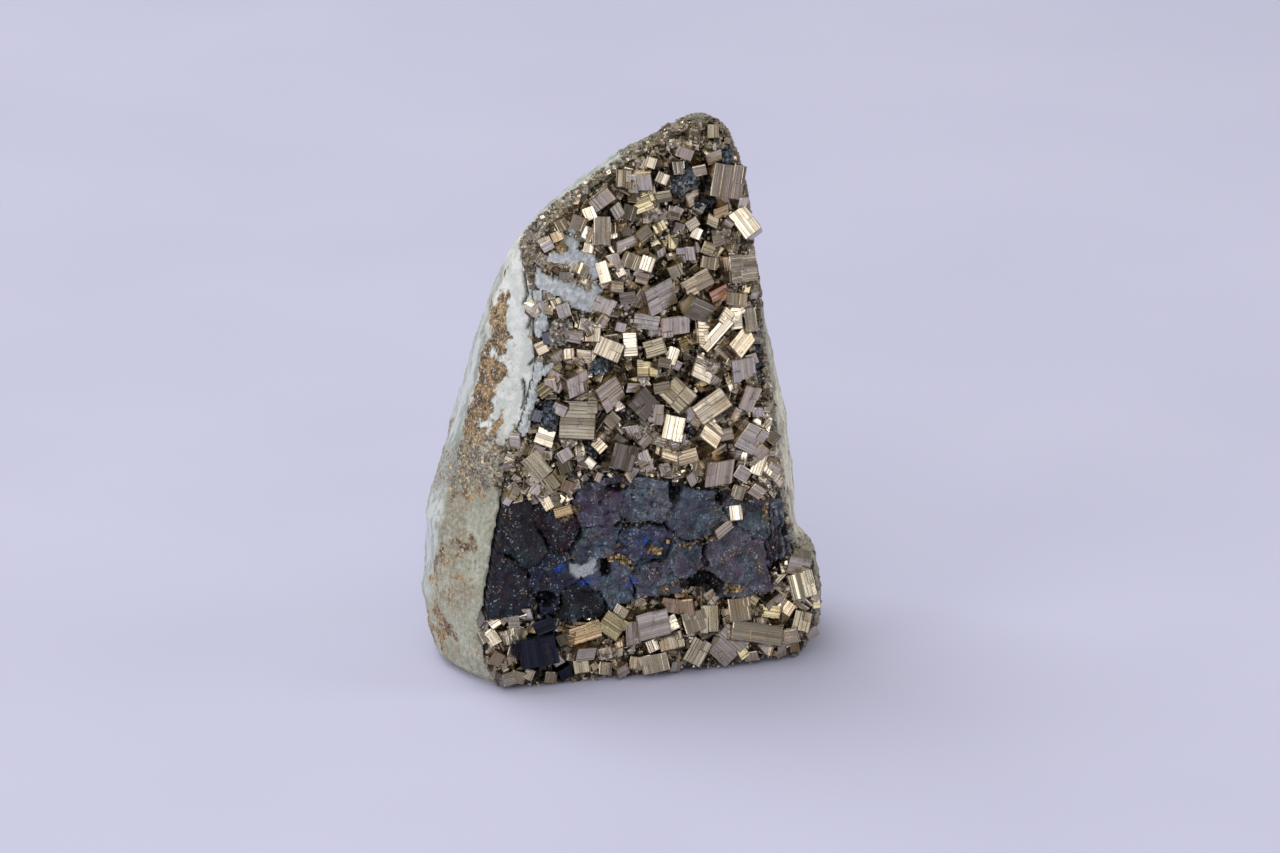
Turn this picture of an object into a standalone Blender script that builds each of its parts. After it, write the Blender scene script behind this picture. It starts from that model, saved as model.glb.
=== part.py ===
"""Pyrite freeform: a standing wedge of host rock whose leaning front carries crusts of pyrite cubes.

Blender 4.5, metres, +Z up. The crystal face looks along -Y and leans back. The origin is on the flat foot.
Rows of readings below are in millimetres on the leaning front: x to the right, z up.
"""

import math
import random

import bmesh
import bpy
from mathutils import Matrix, Vector

MM = 0.001
NAME = "pyrite_freeform"

# The leaning front
FRONT_FOOT_Y = -8.5
LEAN_DEG = 9.0
CRUST_FACE = 0.6
CRUST_BACK = 1.5
ROCK_FACE = 1.8
LIP_FACE = 0.9
GAP = 0.3
EDGE_INSET = 0.2
FOOT_TRIM = 0.06
SPARE = 0.6
CRUST_TOP = 42.6
LIP_WIDTH = 0.5

# Host rock, one row a height: z, left and right edge of the crusted front,
# widest left x, widest right x, depth
ROCK_ROWS = (
    (0.0, -11.2, 12.0, -14.9, 13.8, 16.2),
    (0.7, -12.2, 12.9, -16.0, 15.3, 17.3),
    (2.4, -13.0, 13.9, -16.6, 16.4, 17.8),
    (5.2, -13.2, 14.2, -16.8, 16.5, 17.7),
    (8.0, -12.8, 13.9, -16.6, 15.3, 17.2),
    (9.2, -12.5, 12.3, -16.4, 14.3, 16.9),
    (12.0, -11.9, 11.7, -16.0, 14.3, 16.3),
    (15.0, -11.2, 11.3, -15.3, 14.2, 15.5),
    (18.6, -10.4, 11.0, -14.2, 13.8, 14.5),
    (22.2, -8.9, 10.7, -13.1, 13.0, 13.4),
    (26.0, -7.9, 10.3, -11.9, 12.3, 12.2),
    (30.0, -8.0, 10.0, -10.6, 11.5, 10.7),
    (33.4, -7.6, 9.6, -9.0, 10.6, 9.3),
    (36.2, -6.3, 9.4, -6.9, 10.4, 8.0),
    (38.5, -3.4, 9.2, -3.9, 9.9, 6.7),
    (40.6, 0.1, 8.7, -0.7, 9.3, 5.5),
    (CRUST_TOP, 3.8, 8.0, 3.2, 8.5, 4.3),
    (43.0, 4.4, 7.8, 4.1, 8.1, 4.0),
    (43.7, 5.4, 7.1, 5.3, 7.3, 3.4),
)
WIDEST_AT = 0.42
BACK_CORNER = 0.86
ROUNDING_PASSES = 2
LUMP = 0.28

# Borders that cross the front, from left to right, x and z
BAND_TOP = (
    (-9.5, 15.0), (-7.0, 14.3), (-5.7, 14.4), (-4.9, 15.8), (-2.4, 16.3), (0.5, 16.1), (2.5, 15.5),
    (4.5, 14.9), (6.5, 14.5), (8.3, 13.4),
)
BAND_FOOT = (
    (-10.0, 6.1), (-7.0, 5.7), (-4.2, 5.2), (-2.0, 6.3), (1.0, 6.7), (3.5, 7.1), (6.0, 6.1), (8.5, 6.0),
    (10.4, 6.3), (11.6, 8.2),
)
BAND_TOP_ENDS = (15.2, 13.5)
BAND_FOOT_ENDS = (6.1, 9.0)
LOWER_FOOT = ((-11.8, 0.5), (-9.5, 0.0), (4.0, 0.1), (9.0, 0.3), (11.6, 0.6), (13.2, 1.5))
LOWER_FOOT_ENDS = (2.4, 2.6)

# Crystals of the upper crust: x, z, width, height, turn in degrees anticlockwise
UPPER_CRYSTALS = (
    (1.0, 39.8, 1.8, 1.4, 10), (-0.3, 39.7, 1.4, 1.4, -8), (1.8, 40.9, 0.9, 0.9, -25, -18, -17),
    (2.7, 39.6, 1.0, 0.9, -30, -18, -17), (-2.2, 38.5, 1.9, 1.1, 40), (1.2, 37.5, 1.4, 1.3, 12),
    (-0.1, 37.1, 1.1, 1.2, -20), (2.7, 38.1, 1.6, 0.9, 5), (-2.5, 35.9, 1.3, 2.1, -5),
    (2.4, 35.7, 1.0, 0.9, 20), (3.4, 36.8, 1.1, 1.0, -15), (7.4, 39.1, 2.8, 2.5, -13),
    (9.4, 35.5, 1.5, 2.3, 30, -18, -17), (8.9, 37.5, 0.9, 0.8, -10), (7.1, 36.9, 1.3, 1.0, 8, -18, -17),
    (6.3, 36.0, 1.1, 1.0, -22), (5.3, 35.1, 0.9, 1.0, -30, -18, -17), (4.6, 41.7, 1.3, 0.9, -20),
    (6.7, 41.3, 1.3, 1.0, 14), (7.0, 42.9, 0.9, 1.1, -6), (-0.7, 34.9, 2.0, 1.0, 6),
    (-2.3, 32.5, 0.9, 1.7, 10, -18, -17), (-3.4, 34.6, 0.8, 0.9, -18), (-1.5, 33.6, 1.1, 1.0, 16),
    (-0.1, 33.3, 1.4, 1.2, -25), (1.2, 33.0, 1.1, 1.2, -25, -18, -17), (-2.45, 30.2, 1.5, 1.2, -25),
    (-0.4, 30.6, 1.3, 1.0, 10), (1.7, 30.5, 2.5, 2.1, 17), (1.1, 28.7, 2.0, 1.3, -6),
    (-0.4, 26.7, 1.1, 1.8, -2, -18, -17), (-3.3, 27.6, 1.2, 1.2, -10, -18, -17),
    (-2.1, 26.4, 2.1, 1.5, -30, -18, -17),
    (8.4, 32.1, 2.4, 2.0, 2), (6.1, 32.6, 1.3, 1.0, -14), (6.8, 30.4, 1.5, 1.0, 20),
    (8.2, 29.6, 1.6, 1.0, -12), (8.4, 28.0, 1.0, 1.8, 0, -18, -17), (9.5, 28.0, 0.9, 1.8, 4),
    (6.7, 26.9, 3.0, 0.9, 42, -18, -17), (8.2, 26.1, 2.3, 1.5, 42), (4.9, 29.5, 2.3, 1.6, -35),
    (5.4, 31.3, 2.2, 1.2, 25), (3.2, 28.2, 2.2, 1.5, 3), (5.4, 27.3, 1.9, 2.1, -5),
    (3.9, 26.3, 1.2, 1.0, 12), (7.1, 28.4, 1.1, 1.3, -40), (9.4, 25.0, 0.9, 0.9, 18),
    (3.2, 30.8, 0.9, 0.9, 0), (3.1, 34.4, 0.8, 1.2, -8), (4.6, 33.8, 1.3, 1.2, 12),
    (6.1, 33.9, 1.0, 1.0, -25), (-4.7, 20.8, 2.7, 2.9, -9, -18, -17), (-2.6, 23.2, 2.0, 2.2, 27),
    (-2.3, 20.9, 1.1, 1.0, 42), (-7.5, 19.8, 1.4, 1.3, -25, -18, -17), (-5.3, 24.2, 1.9, 1.7, 10),
    (-5.0, 18.5, 0.9, 0.9, 0), (0.1, 22.1, 1.9, 1.9, 40), (0.45, 24.6, 1.8, 1.2, -4),
    (1.6, 26.3, 1.6, 1.3, 10), (-0.4, 20.0, 1.3, 1.2, 22), (-1.9, 18.0, 2.2, 1.9, -22),
    (3.0, 19.6, 1.6, 1.9, -18, -18, -17), (6.1, 21.2, 2.7, 1.7, 28, -18, -17), (5.0, 24.2, 1.8, 1.9, -25),
    (3.5, 22.3, 2.0, 2.2, 40), (1.6, 21.2, 1.2, 1.5, -6), (5.5, 19.0, 1.8, 1.8, -38),
    (9.0, 22.0, 1.2, 2.0, -20), (8.5, 24.2, 1.9, 1.7, 5), (8.8, 18.9, 2.0, 2.2, -35),
    (7.2, 19.1, 1.1, 1.0, 10), (9.9, 16.2, 1.0, 1.8, -25, -18, -17), (3.1, 25.4, 0.9, 1.4, -25, -18, -17),
    (1.9, 23.4, 1.3, 1.0, 8), (0.5, 17.7, 1.0, 1.0, 20), (2.2, 17.6, 1.5, 1.1, -15),
    (4.1, 17.3, 1.6, 1.1, 12), (6.1, 16.4, 2.3, 2.2, -3), (8.2, 15.8, 1.3, 1.1, -35),
    (-8.4, 17.7, 1.5, 2.0, 35), (-7.3, 16.3, 1.5, 1.2, 35), (7.5, 22.9, 1.0, 1.2, 15),
    (-6.3, 22.3, 1.1, 1.0, -20), (-6.5, 26.4, 1.1, 1.0, 28), (-4.9, 27.9, 1.2, 1.0, -12),
    (-5.8, 30.0, 1.0, 1.1, 16), (-4.2, 36.7, 1.2, 1.1, -24), (0.9, 35.4, 1.2, 1.1, 30),
    (4.8, 38.0, 1.2, 1.1, 22), (-6.9, 24.2, 0.9, 1.1, 12), (-3.6, 25.4, 1.2, 1.0, 8),
    (0.9, 31.9, 1.0, 0.9, -14), (3.4, 32.5, 1.1, 1.0, 24), (-6.2, 18.7, 1.1, 1.1, 30),
)

# Crystals of the lower crust, in the same way
LOWER_CRYSTALS = (
    (-2.9, 4.4, 1.8, 1.7, -40), (-4.8, 3.9, 2.4, 1.3, 10), (-5.3, 2.7, 1.6, 1.1, -8),
    (-6.9, 3.5, 1.1, 0.9, 20), (-1.4, 3.9, 1.1, 2.0, 3), (0.3, 4.7, 2.5, 2.2, 10),
    (2.0, 4.0, 1.3, 1.2, 20, -18, -17), (0.6, 1.1, 2.1, 1.4, 8), (-1.1, 1.2, 1.0, 1.0, -12),
    (-2.3, 0.9, 1.1, 1.0, 14), (-3.6, 0.9, 1.1, 1.0, -10), (-5.3, 1.2, 1.3, 1.1, 4),
    (-8.3, 5.0, 1.6, 1.1, 20), (-10.6, 1.1, 1.2, 1.1, -18), (-11.4, 4.4, 1.2, 1.2, 10),
    (3.4, 5.5, 1.2, 1.4, 8), (2.0, 5.7, 1.6, 1.2, -15), (3.8, 4.0, 1.9, 1.5, 12),
    (5.4, 4.2, 1.4, 2.1, -5), (6.6, 3.8, 0.9, 1.2, 14), (7.5, 4.6, 1.7, 1.8, 2),
    (8.7, 2.5, 4.0, 1.5, -12), (10.1, 4.2, 2.4, 1.0, -15), (11.6, 4.6, 1.6, 1.1, -40),
    (10.3, 5.4, 1.5, 0.9, 25), (12.9, 6.2, 2.0, 2.0, 8), (12.9, 8.0, 1.7, 1.5, -10),
    (12.9, 3.3, 1.4, 1.6, -20), (11.6, 2.3, 2.0, 1.2, 10), (4.2, 1.5, 1.5, 2.0, -35, -18, -17),
    (2.2, 2.5, 1.9, 1.4, 5), (5.6, 2.45, 0.9, 0.9, -20), (6.5, 1.3, 1.2, 0.9, 18),
    (-9.1, 3.1, 2.8, 2.2, 6, -3, -4), (2.1, 0.8, 1.0, 0.9, -15), (8.6, 1.0, 1.1, 0.9, 12),
    (10.0, 1.2, 1.1, 0.9, -20), (-6.9, 1.0, 1.2, 1.0, 20), (-8.2, 0.8, 1.1, 0.9, -15),
    (7.6, 1.2, 1.0, 0.9, 30),
)

# Plates of the dark band: x, z, width, height, turn, number of sides
BAND_PLATES = (
    (-3.9, 14.0, 3.6, 3.4, 12, 6), (0.4, 13.9, 3.5, 3.6, -8, 5), (4.4, 12.9, 3.9, 3.2, 6, 7),
    (-6.9, 12.4, 3.8, 3.3, -14, 6), (-3.7, 11.4, 2.6, 2.3, 20, 5), (7.3, 9.4, 5.2, 3.6, -6, 7),
    (-9.9, 12.6, 2.6, 3.4, 8, 5), (-8.3, 9.4, 3.4, 2.8, 10, 6), (-5.2, 9.2, 2.7, 1.4, -6, 5),
    (-1.1, 9.7, 3.4, 2.4, 14, 6), (2.2, 10.2, 3.2, 2.3, -18, 6), (10.3, 11.4, 1.9, 3.2, 4, 5),
    (-5.4, 7.1, 2.5, 2.2, 5, 4), (1.2, 8.0, 3.0, 1.5, 8, 5), (-10.9, 8.4, 2.3, 2.6, -12, 5),
    (10.6, 8.6, 2.0, 2.0, -8, 5),
)
PLATE_THICK = 1.2
BAND_CRYSTALS = ((6.3, 11.5, 1.7, 0.9, 25), (7.7, 12.6, 1.0, 1.2, 0, -18, -17), (-6.3, 13.9, 1.4, 0.8, 8))

# Crystals that no row gives
SMALL_STEP = 1.75
SMALL_SIZE = (0.8, 1.25)
SMALL_LOOSE = 0.3
SMALL_FROM_EDGE = 0.45

# How cubes stand when their row doesn't say: tilt in degrees, and how deep their middle is sunk
MOST_PITCH = 22.0
MOST_YAW = 24.0
SUNK_MIDDLE = 0.35
SUNK_SHARE = 0.05
SUNK_WAVE = 0.25

# Plates of the band lie nearly along the front
PLATE_PROUD = 0.15
PLATE_TILT = 0.4
PLATE_TAPER = 0.92

# Reach of a cube from its middle, as a share of its longer side
CORNER_REACH = 0.75

ROCK_LOOK = ((0.33, 0.34, 0.27), 0.82, 0.0)
PYRITE_LOOK = ((0.42, 0.36, 0.25), 0.32, 1.0)
BAND_LOOK = ((0.045, 0.05, 0.085), 0.35, 0.7)


def clear_scene():
    for obj in list(bpy.data.objects):
        bpy.data.objects.remove(obj, do_unlink=True)


def new_collection(name, parent=None):
    made = bpy.data.collections.new(name)
    (parent or bpy.context.scene.collection).children.link(made)
    return made


def principled(name, look):
    color, roughness, metallic = look
    material = bpy.data.materials.new(name)
    material.use_nodes = True
    shader = material.node_tree.nodes["Principled BSDF"]
    shader.inputs["Base Color"].default_value = (*color, 1.0)
    shader.inputs["Roughness"].default_value = roughness
    shader.inputs["Metallic"].default_value = metallic
    material.diffuse_color = (*color, 1.0)
    return material


def object_from(bm, name, collection, material=None):
    mesh = bpy.data.meshes.new(name)
    bm.to_mesh(mesh)
    bm.free()
    obj = bpy.data.objects.new(name, mesh)
    collection.objects.link(obj)
    if material:
        mesh.materials.append(material)
    return obj


def helper(obj):
    """A cutter or a shape that another object takes up: seen as wire and left out of the render."""
    obj.hide_render = True
    obj.display_type = "WIRE"
    return obj


def on_front(x, z, behind):
    """The point behind the leaning front by so many millimetres, in metres."""
    return Vector((x, FRONT_FOOT_Y + math.tan(math.radians(LEAN_DEG)) * z + behind, z)) * MM


def rounded(line, passes):
    """An open line with its ends kept and its corners cut off, a quarter of the way along each side."""
    for _ in range(passes):
        cut = [line[0]]
        for here, after in zip(line, line[1:]):
            cut.append(here.lerp(after, 0.25))
            cut.append(here.lerp(after, 0.75))
        line = cut + [line[-1]]
    return line


def edge_x(z, column):
    """Where the left (1) or right (2) edge of the crusted front is at a height."""
    for low, high in zip(ROCK_ROWS, ROCK_ROWS[1:]):
        if z <= high[0]:
            return low[column] + (high[column] - low[column]) * (z - low[0]) / (high[0] - low[0])
    return ROCK_ROWS[-1][column]


def rock_ring(z, front_left, front_right, left, right, depth):
    """One level section of the rock: a shallow recess in front, flaring flanks, rounded back corners."""
    face = ROCK_FACE if z <= CRUST_TOP else LIP_FACE
    widest = LIP_FACE + (depth - LIP_FACE) * WIDEST_AT
    corner = LIP_FACE + (depth - LIP_FACE) * BACK_CORNER
    middle = (left + right) / 2
    outer_right = front_right + LIP_WIDTH
    outer_left = front_left - LIP_WIDTH
    corners = (
        (front_right, LIP_FACE), (outer_right, LIP_FACE + 0.15),
        (outer_right + (right - outer_right) * 0.6, LIP_FACE + (widest - LIP_FACE) * 0.45),
        (right, widest), (right - 0.1 * (right - middle), corner),
        (middle + 0.55 * (right - middle), depth), (middle + 0.5 * (left - middle), depth),
        (left - 0.12 * (left - middle), corner), (left, widest),
        (outer_left + (left - outer_left) * 0.6, LIP_FACE + (widest - LIP_FACE) * 0.45),
        (outer_left, LIP_FACE + 0.15), (front_left, LIP_FACE),
    )
    flat = rounded([Vector(corner_at) for corner_at in corners], ROUNDING_PASSES)
    flat = [Vector((front_left, face)), Vector((front_right, face))] + flat
    return [on_front(p.x, z, p.y) for p in flat]


def lumpy(point, z):
    """The rock is hand ground: low lumps on its flanks and back, none on its foot or beside the crusts."""
    x, y = point.x / MM, point.y / MM
    behind = y - FRONT_FOOT_Y - math.tan(math.radians(LEAN_DEG)) * z - ROCK_FACE
    share = min(1.0, max(0.0, behind / 3.0)) * min(1.0, z / 3.0)
    wave = math.sin(0.61 * x + 0.37 * z) + math.sin(0.83 * y - 0.52 * z + 1.3)
    wave += 0.7 * math.sin(1.1 * z - 0.5 * x)
    return point + Vector((x * 0.05, 0.35 if y > 0 else -0.1, 0.0)) * (wave * LUMP * share * MM)


def make_rock(collection, rooms):
    bm = bmesh.new()
    rings = [[bm.verts.new(lumpy(p, row[0])) for p in rock_ring(*row)] for row in ROCK_ROWS]
    for low, high in zip(rings, rings[1:]):
        for i in range(len(low)):
            j = (i + 1) % len(low)
            bm.faces.new((low[i], low[j], high[j], high[i]))
    bm.faces.new(list(reversed(rings[0])))
    bm.faces.new(rings[-1])
    bmesh.ops.recalc_face_normals(bm, faces=bm.faces)
    rock = object_from(bm, "host_rock", collection, principled("host_rock", ROCK_LOOK))
    boolean(rock, "room_for_edge_crystals", "DIFFERENCE", rooms)
    return rock


def side(column, start, end):
    """The left (1) or right (2) side of a crust between two heights, with a point at every row on the way."""
    low, high = min(start, end), max(start, end)
    heights = [low] + [row[0] for row in ROCK_ROWS if low < row[0] < high] + [high]
    if start > end:
        heights.reverse()
    return [(edge_x(z, column), z) for z in heights]


def outlines():
    """The ground that each crust covers, anticlockwise as seen from the front."""
    band_foot, band_top, lower_foot = list(BAND_FOOT), list(BAND_TOP), list(LOWER_FOOT)
    left_top, right_top = BAND_TOP_ENDS
    left_foot, right_foot = BAND_FOOT_ENDS
    left_low, right_low = LOWER_FOOT_ENDS
    upper = side(1, CRUST_TOP, left_top) + band_top + side(2, right_top, CRUST_TOP)
    band = side(1, left_top, left_foot) + band_foot + side(2, right_foot, right_top) + band_top[::-1]
    lower = side(1, left_foot, left_low) + lower_foot + side(2, right_low, right_foot) + band_foot[::-1]
    return upper, band, lower


def inset(outline, by):
    """An outline drawn in by the same distance all round."""
    drawn_in = []
    for i, (x, z) in enumerate(outline):
        before, after = Vector(outline[i - 1]), Vector(outline[(i + 1) % len(outline)])
        here = Vector((x, z))
        arriving, leaving = (here - before).normalized(), (after - here).normalized()
        inward = Vector((-arriving.y, arriving.x)) + Vector((-leaving.y, leaving.x))
        miter = here + inward * (by / (0.5 * inward.length_squared))
        drawn_in.append((miter.x, miter.y))
    return drawn_in


def is_inside(x, z, outline):
    crossings = 0
    for (ax, az), (bx, bz) in zip(outline, outline[1:] + outline[:1]):
        if (az > z) != (bz > z) and x < ax + (bx - ax) * (z - az) / (bz - az):
            crossings += 1
    return crossings % 2 == 1


def distance_to(x, z, outline):
    """How far a place is from the nearest point of a closed outline."""
    here, nearest = Vector((x, z)), 1e9
    for a, b in zip(outline, outline[1:] + outline[:1]):
        start, along = Vector(a), Vector(b) - Vector(a)
        share = max(0.0, min(1.0, (here - start).dot(along) / along.length_squared))
        nearest = min(nearest, (here - start - along * share).length)
    return nearest


def small_crystals(outline, known, step, seed):
    """Small cubes in the bare places between the known crystals, on a loosened triangular grid."""
    dice = random.Random(seed)
    xs, zs = [p[0] for p in outline], [p[1] for p in outline]
    found = []
    line = 0
    z = min(zs) + 0.6 * step
    while z < max(zs):
        x = min(xs) + (0.5 * step if line % 2 else 0.0)
        while x < max(xs):
            px, pz = x + dice.uniform(-SMALL_LOOSE, SMALL_LOOSE), z + dice.uniform(-SMALL_LOOSE, SMALL_LOOSE)
            width, height = dice.uniform(*SMALL_SIZE), dice.uniform(*SMALL_SIZE)
            turn = dice.uniform(-45.0, 45.0)
            bare = all(math.hypot(px - k[0], pz - k[1]) > 0.5 * max(k[2], k[3]) + SMALL_LOOSE for k in known)
            if bare and is_inside(px, pz, outline) and distance_to(px, pz, outline) > SMALL_FROM_EDGE:
                found.append((round(px, 2), round(pz, 2), round(width, 2), round(height, 2), round(turn)))
            x += step
        z += step * 0.87
        line += 1
    return found


def crust_slab(name, outline, collection):
    """A thin crust of the given outline, lying along the leaning front."""
    bm = bmesh.new()
    face = bm.faces.new([bm.verts.new(on_front(x, z, CRUST_BACK + SPARE)) for x, z in outline])
    made = bmesh.ops.extrude_face_region(bm, geom=[face])["geom"]
    forward = Vector((0.0, (CRUST_FACE - CRUST_BACK - SPARE) * MM, 0.0))
    bmesh.ops.translate(bm, vec=forward, verts=[v for v in made if isinstance(v, bmesh.types.BMVert)])
    bmesh.ops.recalc_face_normals(bm, faces=bm.faces)
    return object_from(bm, name, collection)


def tilt_of(row):
    """A crystal's pitch and yaw in radians: its own if the row gives them, else from its place."""
    x, z = row[0], row[1]
    if len(row) == 7:
        pitch, yaw = row[5], row[6]
    else:
        pitch = MOST_PITCH * math.sin(2.9 * x + 1.7 * z)
        yaw = MOST_YAW * math.sin(1.3 * x - 2.3 * z + 1.0)
    return math.radians(pitch), math.radians(yaw)


def standing(row, size, sunk, eased=1.0):
    """Where a crystal stands: turned in its own face, tilted off the front, its middle sunk behind it."""
    x, z, turn = row[0], row[1], row[4]
    pitch, yaw = tilt_of(row)
    lean = Matrix.Rotation(math.radians(-LEAN_DEG), 4, "X")
    tilt = Matrix.Rotation(pitch * eased, 4, "X") @ Matrix.Rotation(yaw * eased, 4, "Z")
    turned = Matrix.Rotation(math.radians(-turn), 4, "Y")
    return Matrix.Translation(on_front(x, z, sunk)) @ lean @ tilt @ turned @ Matrix.Diagonal((*size, 1.0))


def cube_crystal(name, row, collection, grown=0.0):
    x, z, width, height = row[:4]
    deep = (width + height) / 2
    sunk = SUNK_MIDDLE + SUNK_SHARE * deep + SUNK_WAVE * math.sin(3.7 * x + 2.1 * z)
    bm = bmesh.new()
    bmesh.ops.create_cube(bm, size=MM)
    placed = standing(row, (width + grown, deep + grown, height + grown), sunk)
    bmesh.ops.transform(bm, matrix=placed, verts=bm.verts)
    return helper(object_from(bm, name, collection))


def plate_crystal(name, row, collection):
    """A thin tabular crystal with several sides, lying nearly along the front."""
    width, height = row[2], row[3]
    bm = bmesh.new()
    radius = MM / 2
    bmesh.ops.create_cone(
        bm, cap_ends=True, segments=row[5], radius1=radius, radius2=radius * PLATE_TAPER, depth=MM
    )
    bmesh.ops.rotate(bm, cent=(0, 0, 0), matrix=Matrix.Rotation(math.radians(90), 3, "X"), verts=bm.verts)
    placed = standing(row, (width, PLATE_THICK, height), CRUST_FACE - PLATE_PROUD, eased=PLATE_TILT)
    bmesh.ops.transform(bm, matrix=placed, verts=bm.verts)
    return helper(object_from(bm, name, collection))


def boolean(obj, name, operation, collection):
    modifier = obj.modifiers.new(name, "BOOLEAN")
    modifier.operation = operation
    modifier.solver = "EXACT"
    modifier.operand_type = "COLLECTION"
    modifier.collection = collection


def block(name, size, middle, lean, collection):
    bm = bmesh.new()
    bmesh.ops.create_cube(bm, size=MM)
    leaning = Matrix.Rotation(math.radians(-lean), 4, "X")
    placed = Matrix.Translation(middle) @ leaning @ Matrix.Diagonal((*size, 1.0))
    bmesh.ops.transform(bm, matrix=placed, verts=bm.verts)
    return helper(object_from(bm, name, collection))


def make_trimmers(collection):
    """Two blocks that bound the crusts: one behind them, just off the rock, and one under the foot."""
    deep = 10.0
    slope = math.cos(math.radians(LEAN_DEG))
    behind = on_front(0.0, 22.0, CRUST_BACK) + Vector((0.0, 0.5 * deep * MM / slope, 0.0))
    block("behind_the_crusts", (60, deep, 70), behind, LEAN_DEG, collection)
    below = Vector((0.0, 0.0, (FOOT_TRIM - 0.5 * deep) * MM))
    block("under_the_foot", (60, 60, deep), below, 0.0, collection)


def make_crust(name, ground, crystals, look, collections, plates=(), rooms=None):
    parts, cutters, trimmers = collections
    crust = crust_slab(name, inset(ground, EDGE_INSET), parts)
    crust.data.materials.append(principled(name, look))
    grown_on = new_collection(name + "_crystals", cutters)
    for i, row in enumerate(plates):
        plate_crystal(f"{name}_plate_{i:02d}", row, grown_on)
    for i, row in enumerate(crystals):
        cube_crystal(f"{name}_crystal_{i:03d}", row, grown_on)
    boolean(crust, "grown_together", "UNION", grown_on)
    boolean(crust, "trimmed", "DIFFERENCE", trimmers)
    if rooms:
        boolean(crust, "room_for_neighbours", "DIFFERENCE", rooms)
    return crust


def make_rooms(name, crystals, ground, cutters):
    """The space that crystals reaching into a neighbour's ground need there, with the gap all round."""
    rooms = new_collection(name, cutters)
    for i, row in enumerate(crystals):
        reach = CORNER_REACH * max(row[2], row[3]) + 0.5
        if is_inside(row[0], row[1], ground) or distance_to(row[0], row[1], ground) < reach:
            cube_crystal(f"{name}_{i:03d}", row, rooms, grown=2 * GAP)
    return rooms


def near_the_edge(row, whole):
    return distance_to(row[0], row[1], whole) < CORNER_REACH * max(row[2], row[3]) + 0.2


def main():
    clear_scene()
    parts = new_collection(NAME)
    cutters = new_collection("shapes_taken_up")
    trimmers = new_collection("trimmers", cutters)
    make_trimmers(trimmers)
    collections = (parts, cutters, trimmers)

    upper_ground, band_ground, lower_ground = outlines()
    upper = UPPER_CRYSTALS + tuple(small_crystals(upper_ground, UPPER_CRYSTALS, SMALL_STEP, seed=11))
    lower = LOWER_CRYSTALS + tuple(small_crystals(lower_ground, LOWER_CRYSTALS, SMALL_STEP, seed=12))
    whole = side(1, CRUST_TOP, LOWER_FOOT_ENDS[0]) + list(LOWER_FOOT) + side(2, LOWER_FOOT_ENDS[1], CRUST_TOP)

    edge_rooms = new_collection("rooms_in_the_rock", cutters)
    for i, row in enumerate(upper + lower + BAND_CRYSTALS):
        if near_the_edge(row, whole):
            cube_crystal(f"edge_room_{i:03d}", row, edge_rooms, grown=2 * GAP)
    make_rock(parts, edge_rooms)

    make_crust("upper_pyrite_crystals", upper_ground, upper, PYRITE_LOOK, collections)
    make_crust("lower_pyrite_crystals", lower_ground, lower, PYRITE_LOOK, collections)
    rooms = make_rooms("room_beside_the_band", upper + lower, band_ground, cutters)
    make_crust("dark_sulphide_band", band_ground, BAND_CRYSTALS, BAND_LOOK, collections, BAND_PLATES, rooms)


main()
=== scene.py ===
"""Looks of the pyrite freeform: striped cubes, tarnished plates and clay-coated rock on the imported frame."""

import itertools
import math
import random

import bmesh
import bpy
import numpy as np
from mathutils import Matrix, Vector, noise
from mathutils.bvhtree import BVHTree


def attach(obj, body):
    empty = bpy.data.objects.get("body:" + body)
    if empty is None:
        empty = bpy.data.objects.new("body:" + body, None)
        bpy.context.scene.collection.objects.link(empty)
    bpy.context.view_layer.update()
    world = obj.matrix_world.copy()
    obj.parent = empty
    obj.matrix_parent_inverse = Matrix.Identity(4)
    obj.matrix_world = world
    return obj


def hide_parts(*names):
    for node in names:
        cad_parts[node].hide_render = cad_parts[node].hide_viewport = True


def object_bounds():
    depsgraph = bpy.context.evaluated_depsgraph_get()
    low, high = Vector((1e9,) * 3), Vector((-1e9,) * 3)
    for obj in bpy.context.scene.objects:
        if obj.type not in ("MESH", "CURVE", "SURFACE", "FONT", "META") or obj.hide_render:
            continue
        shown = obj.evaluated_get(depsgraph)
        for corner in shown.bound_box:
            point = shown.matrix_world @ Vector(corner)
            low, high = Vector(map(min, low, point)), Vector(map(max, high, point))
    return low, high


# Sizes and places are in millimetres and angles in degrees, except where metres are named.
MM = 0.001
FRONT_FOOT_Y = -8.5
LEAN_DEG = 9.0
LEAN = math.tan(math.radians(LEAN_DEG))
CRUST_FACE = 0.6
CRUST_BACK = 1.5
MOST_PITCH = 22.0
MOST_YAW = 24.0
GLINT_TILT = (-18.0, -17.0)
FACING_FRONT = (-3.0, -4.0)
SMALL_STEP = 1.75
SMALL_FROM_EDGE = 0.45
GROWN = 1.07
FILL_LOWEST = 0.5
FILL_HIGHEST = 43.0
CRUSTED_FROM = 1.5
CRUST_PITCH = 0.17
BAND_PITCH = 0.12
ROCK_VOXEL = 0.26
FLAT_FOOT = 0.1
ROCK_GRAINS = 6400
PYRITE_DIRT = 0.7
BOX_MARGIN = 0.004
ROCK_BOX_MARGIN = 0.003

# Direction from the stone to the camera, and the right and up of the view.
TO_CAMERA = Vector((-0.2273, -0.9118, 0.3420))
VIEW_RIGHT = Vector((0.9703, -0.2419, 0.0))
VIEW_UP = Vector((0.0827, 0.3319, 0.9397))
CAMERA_AT_METRES = (-0.088204, -0.359290, 0.153076)
LENS = 137.8
SENSOR_WIDTH = 36.0
FLOOR_EDGE_METRES = 1.5

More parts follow.
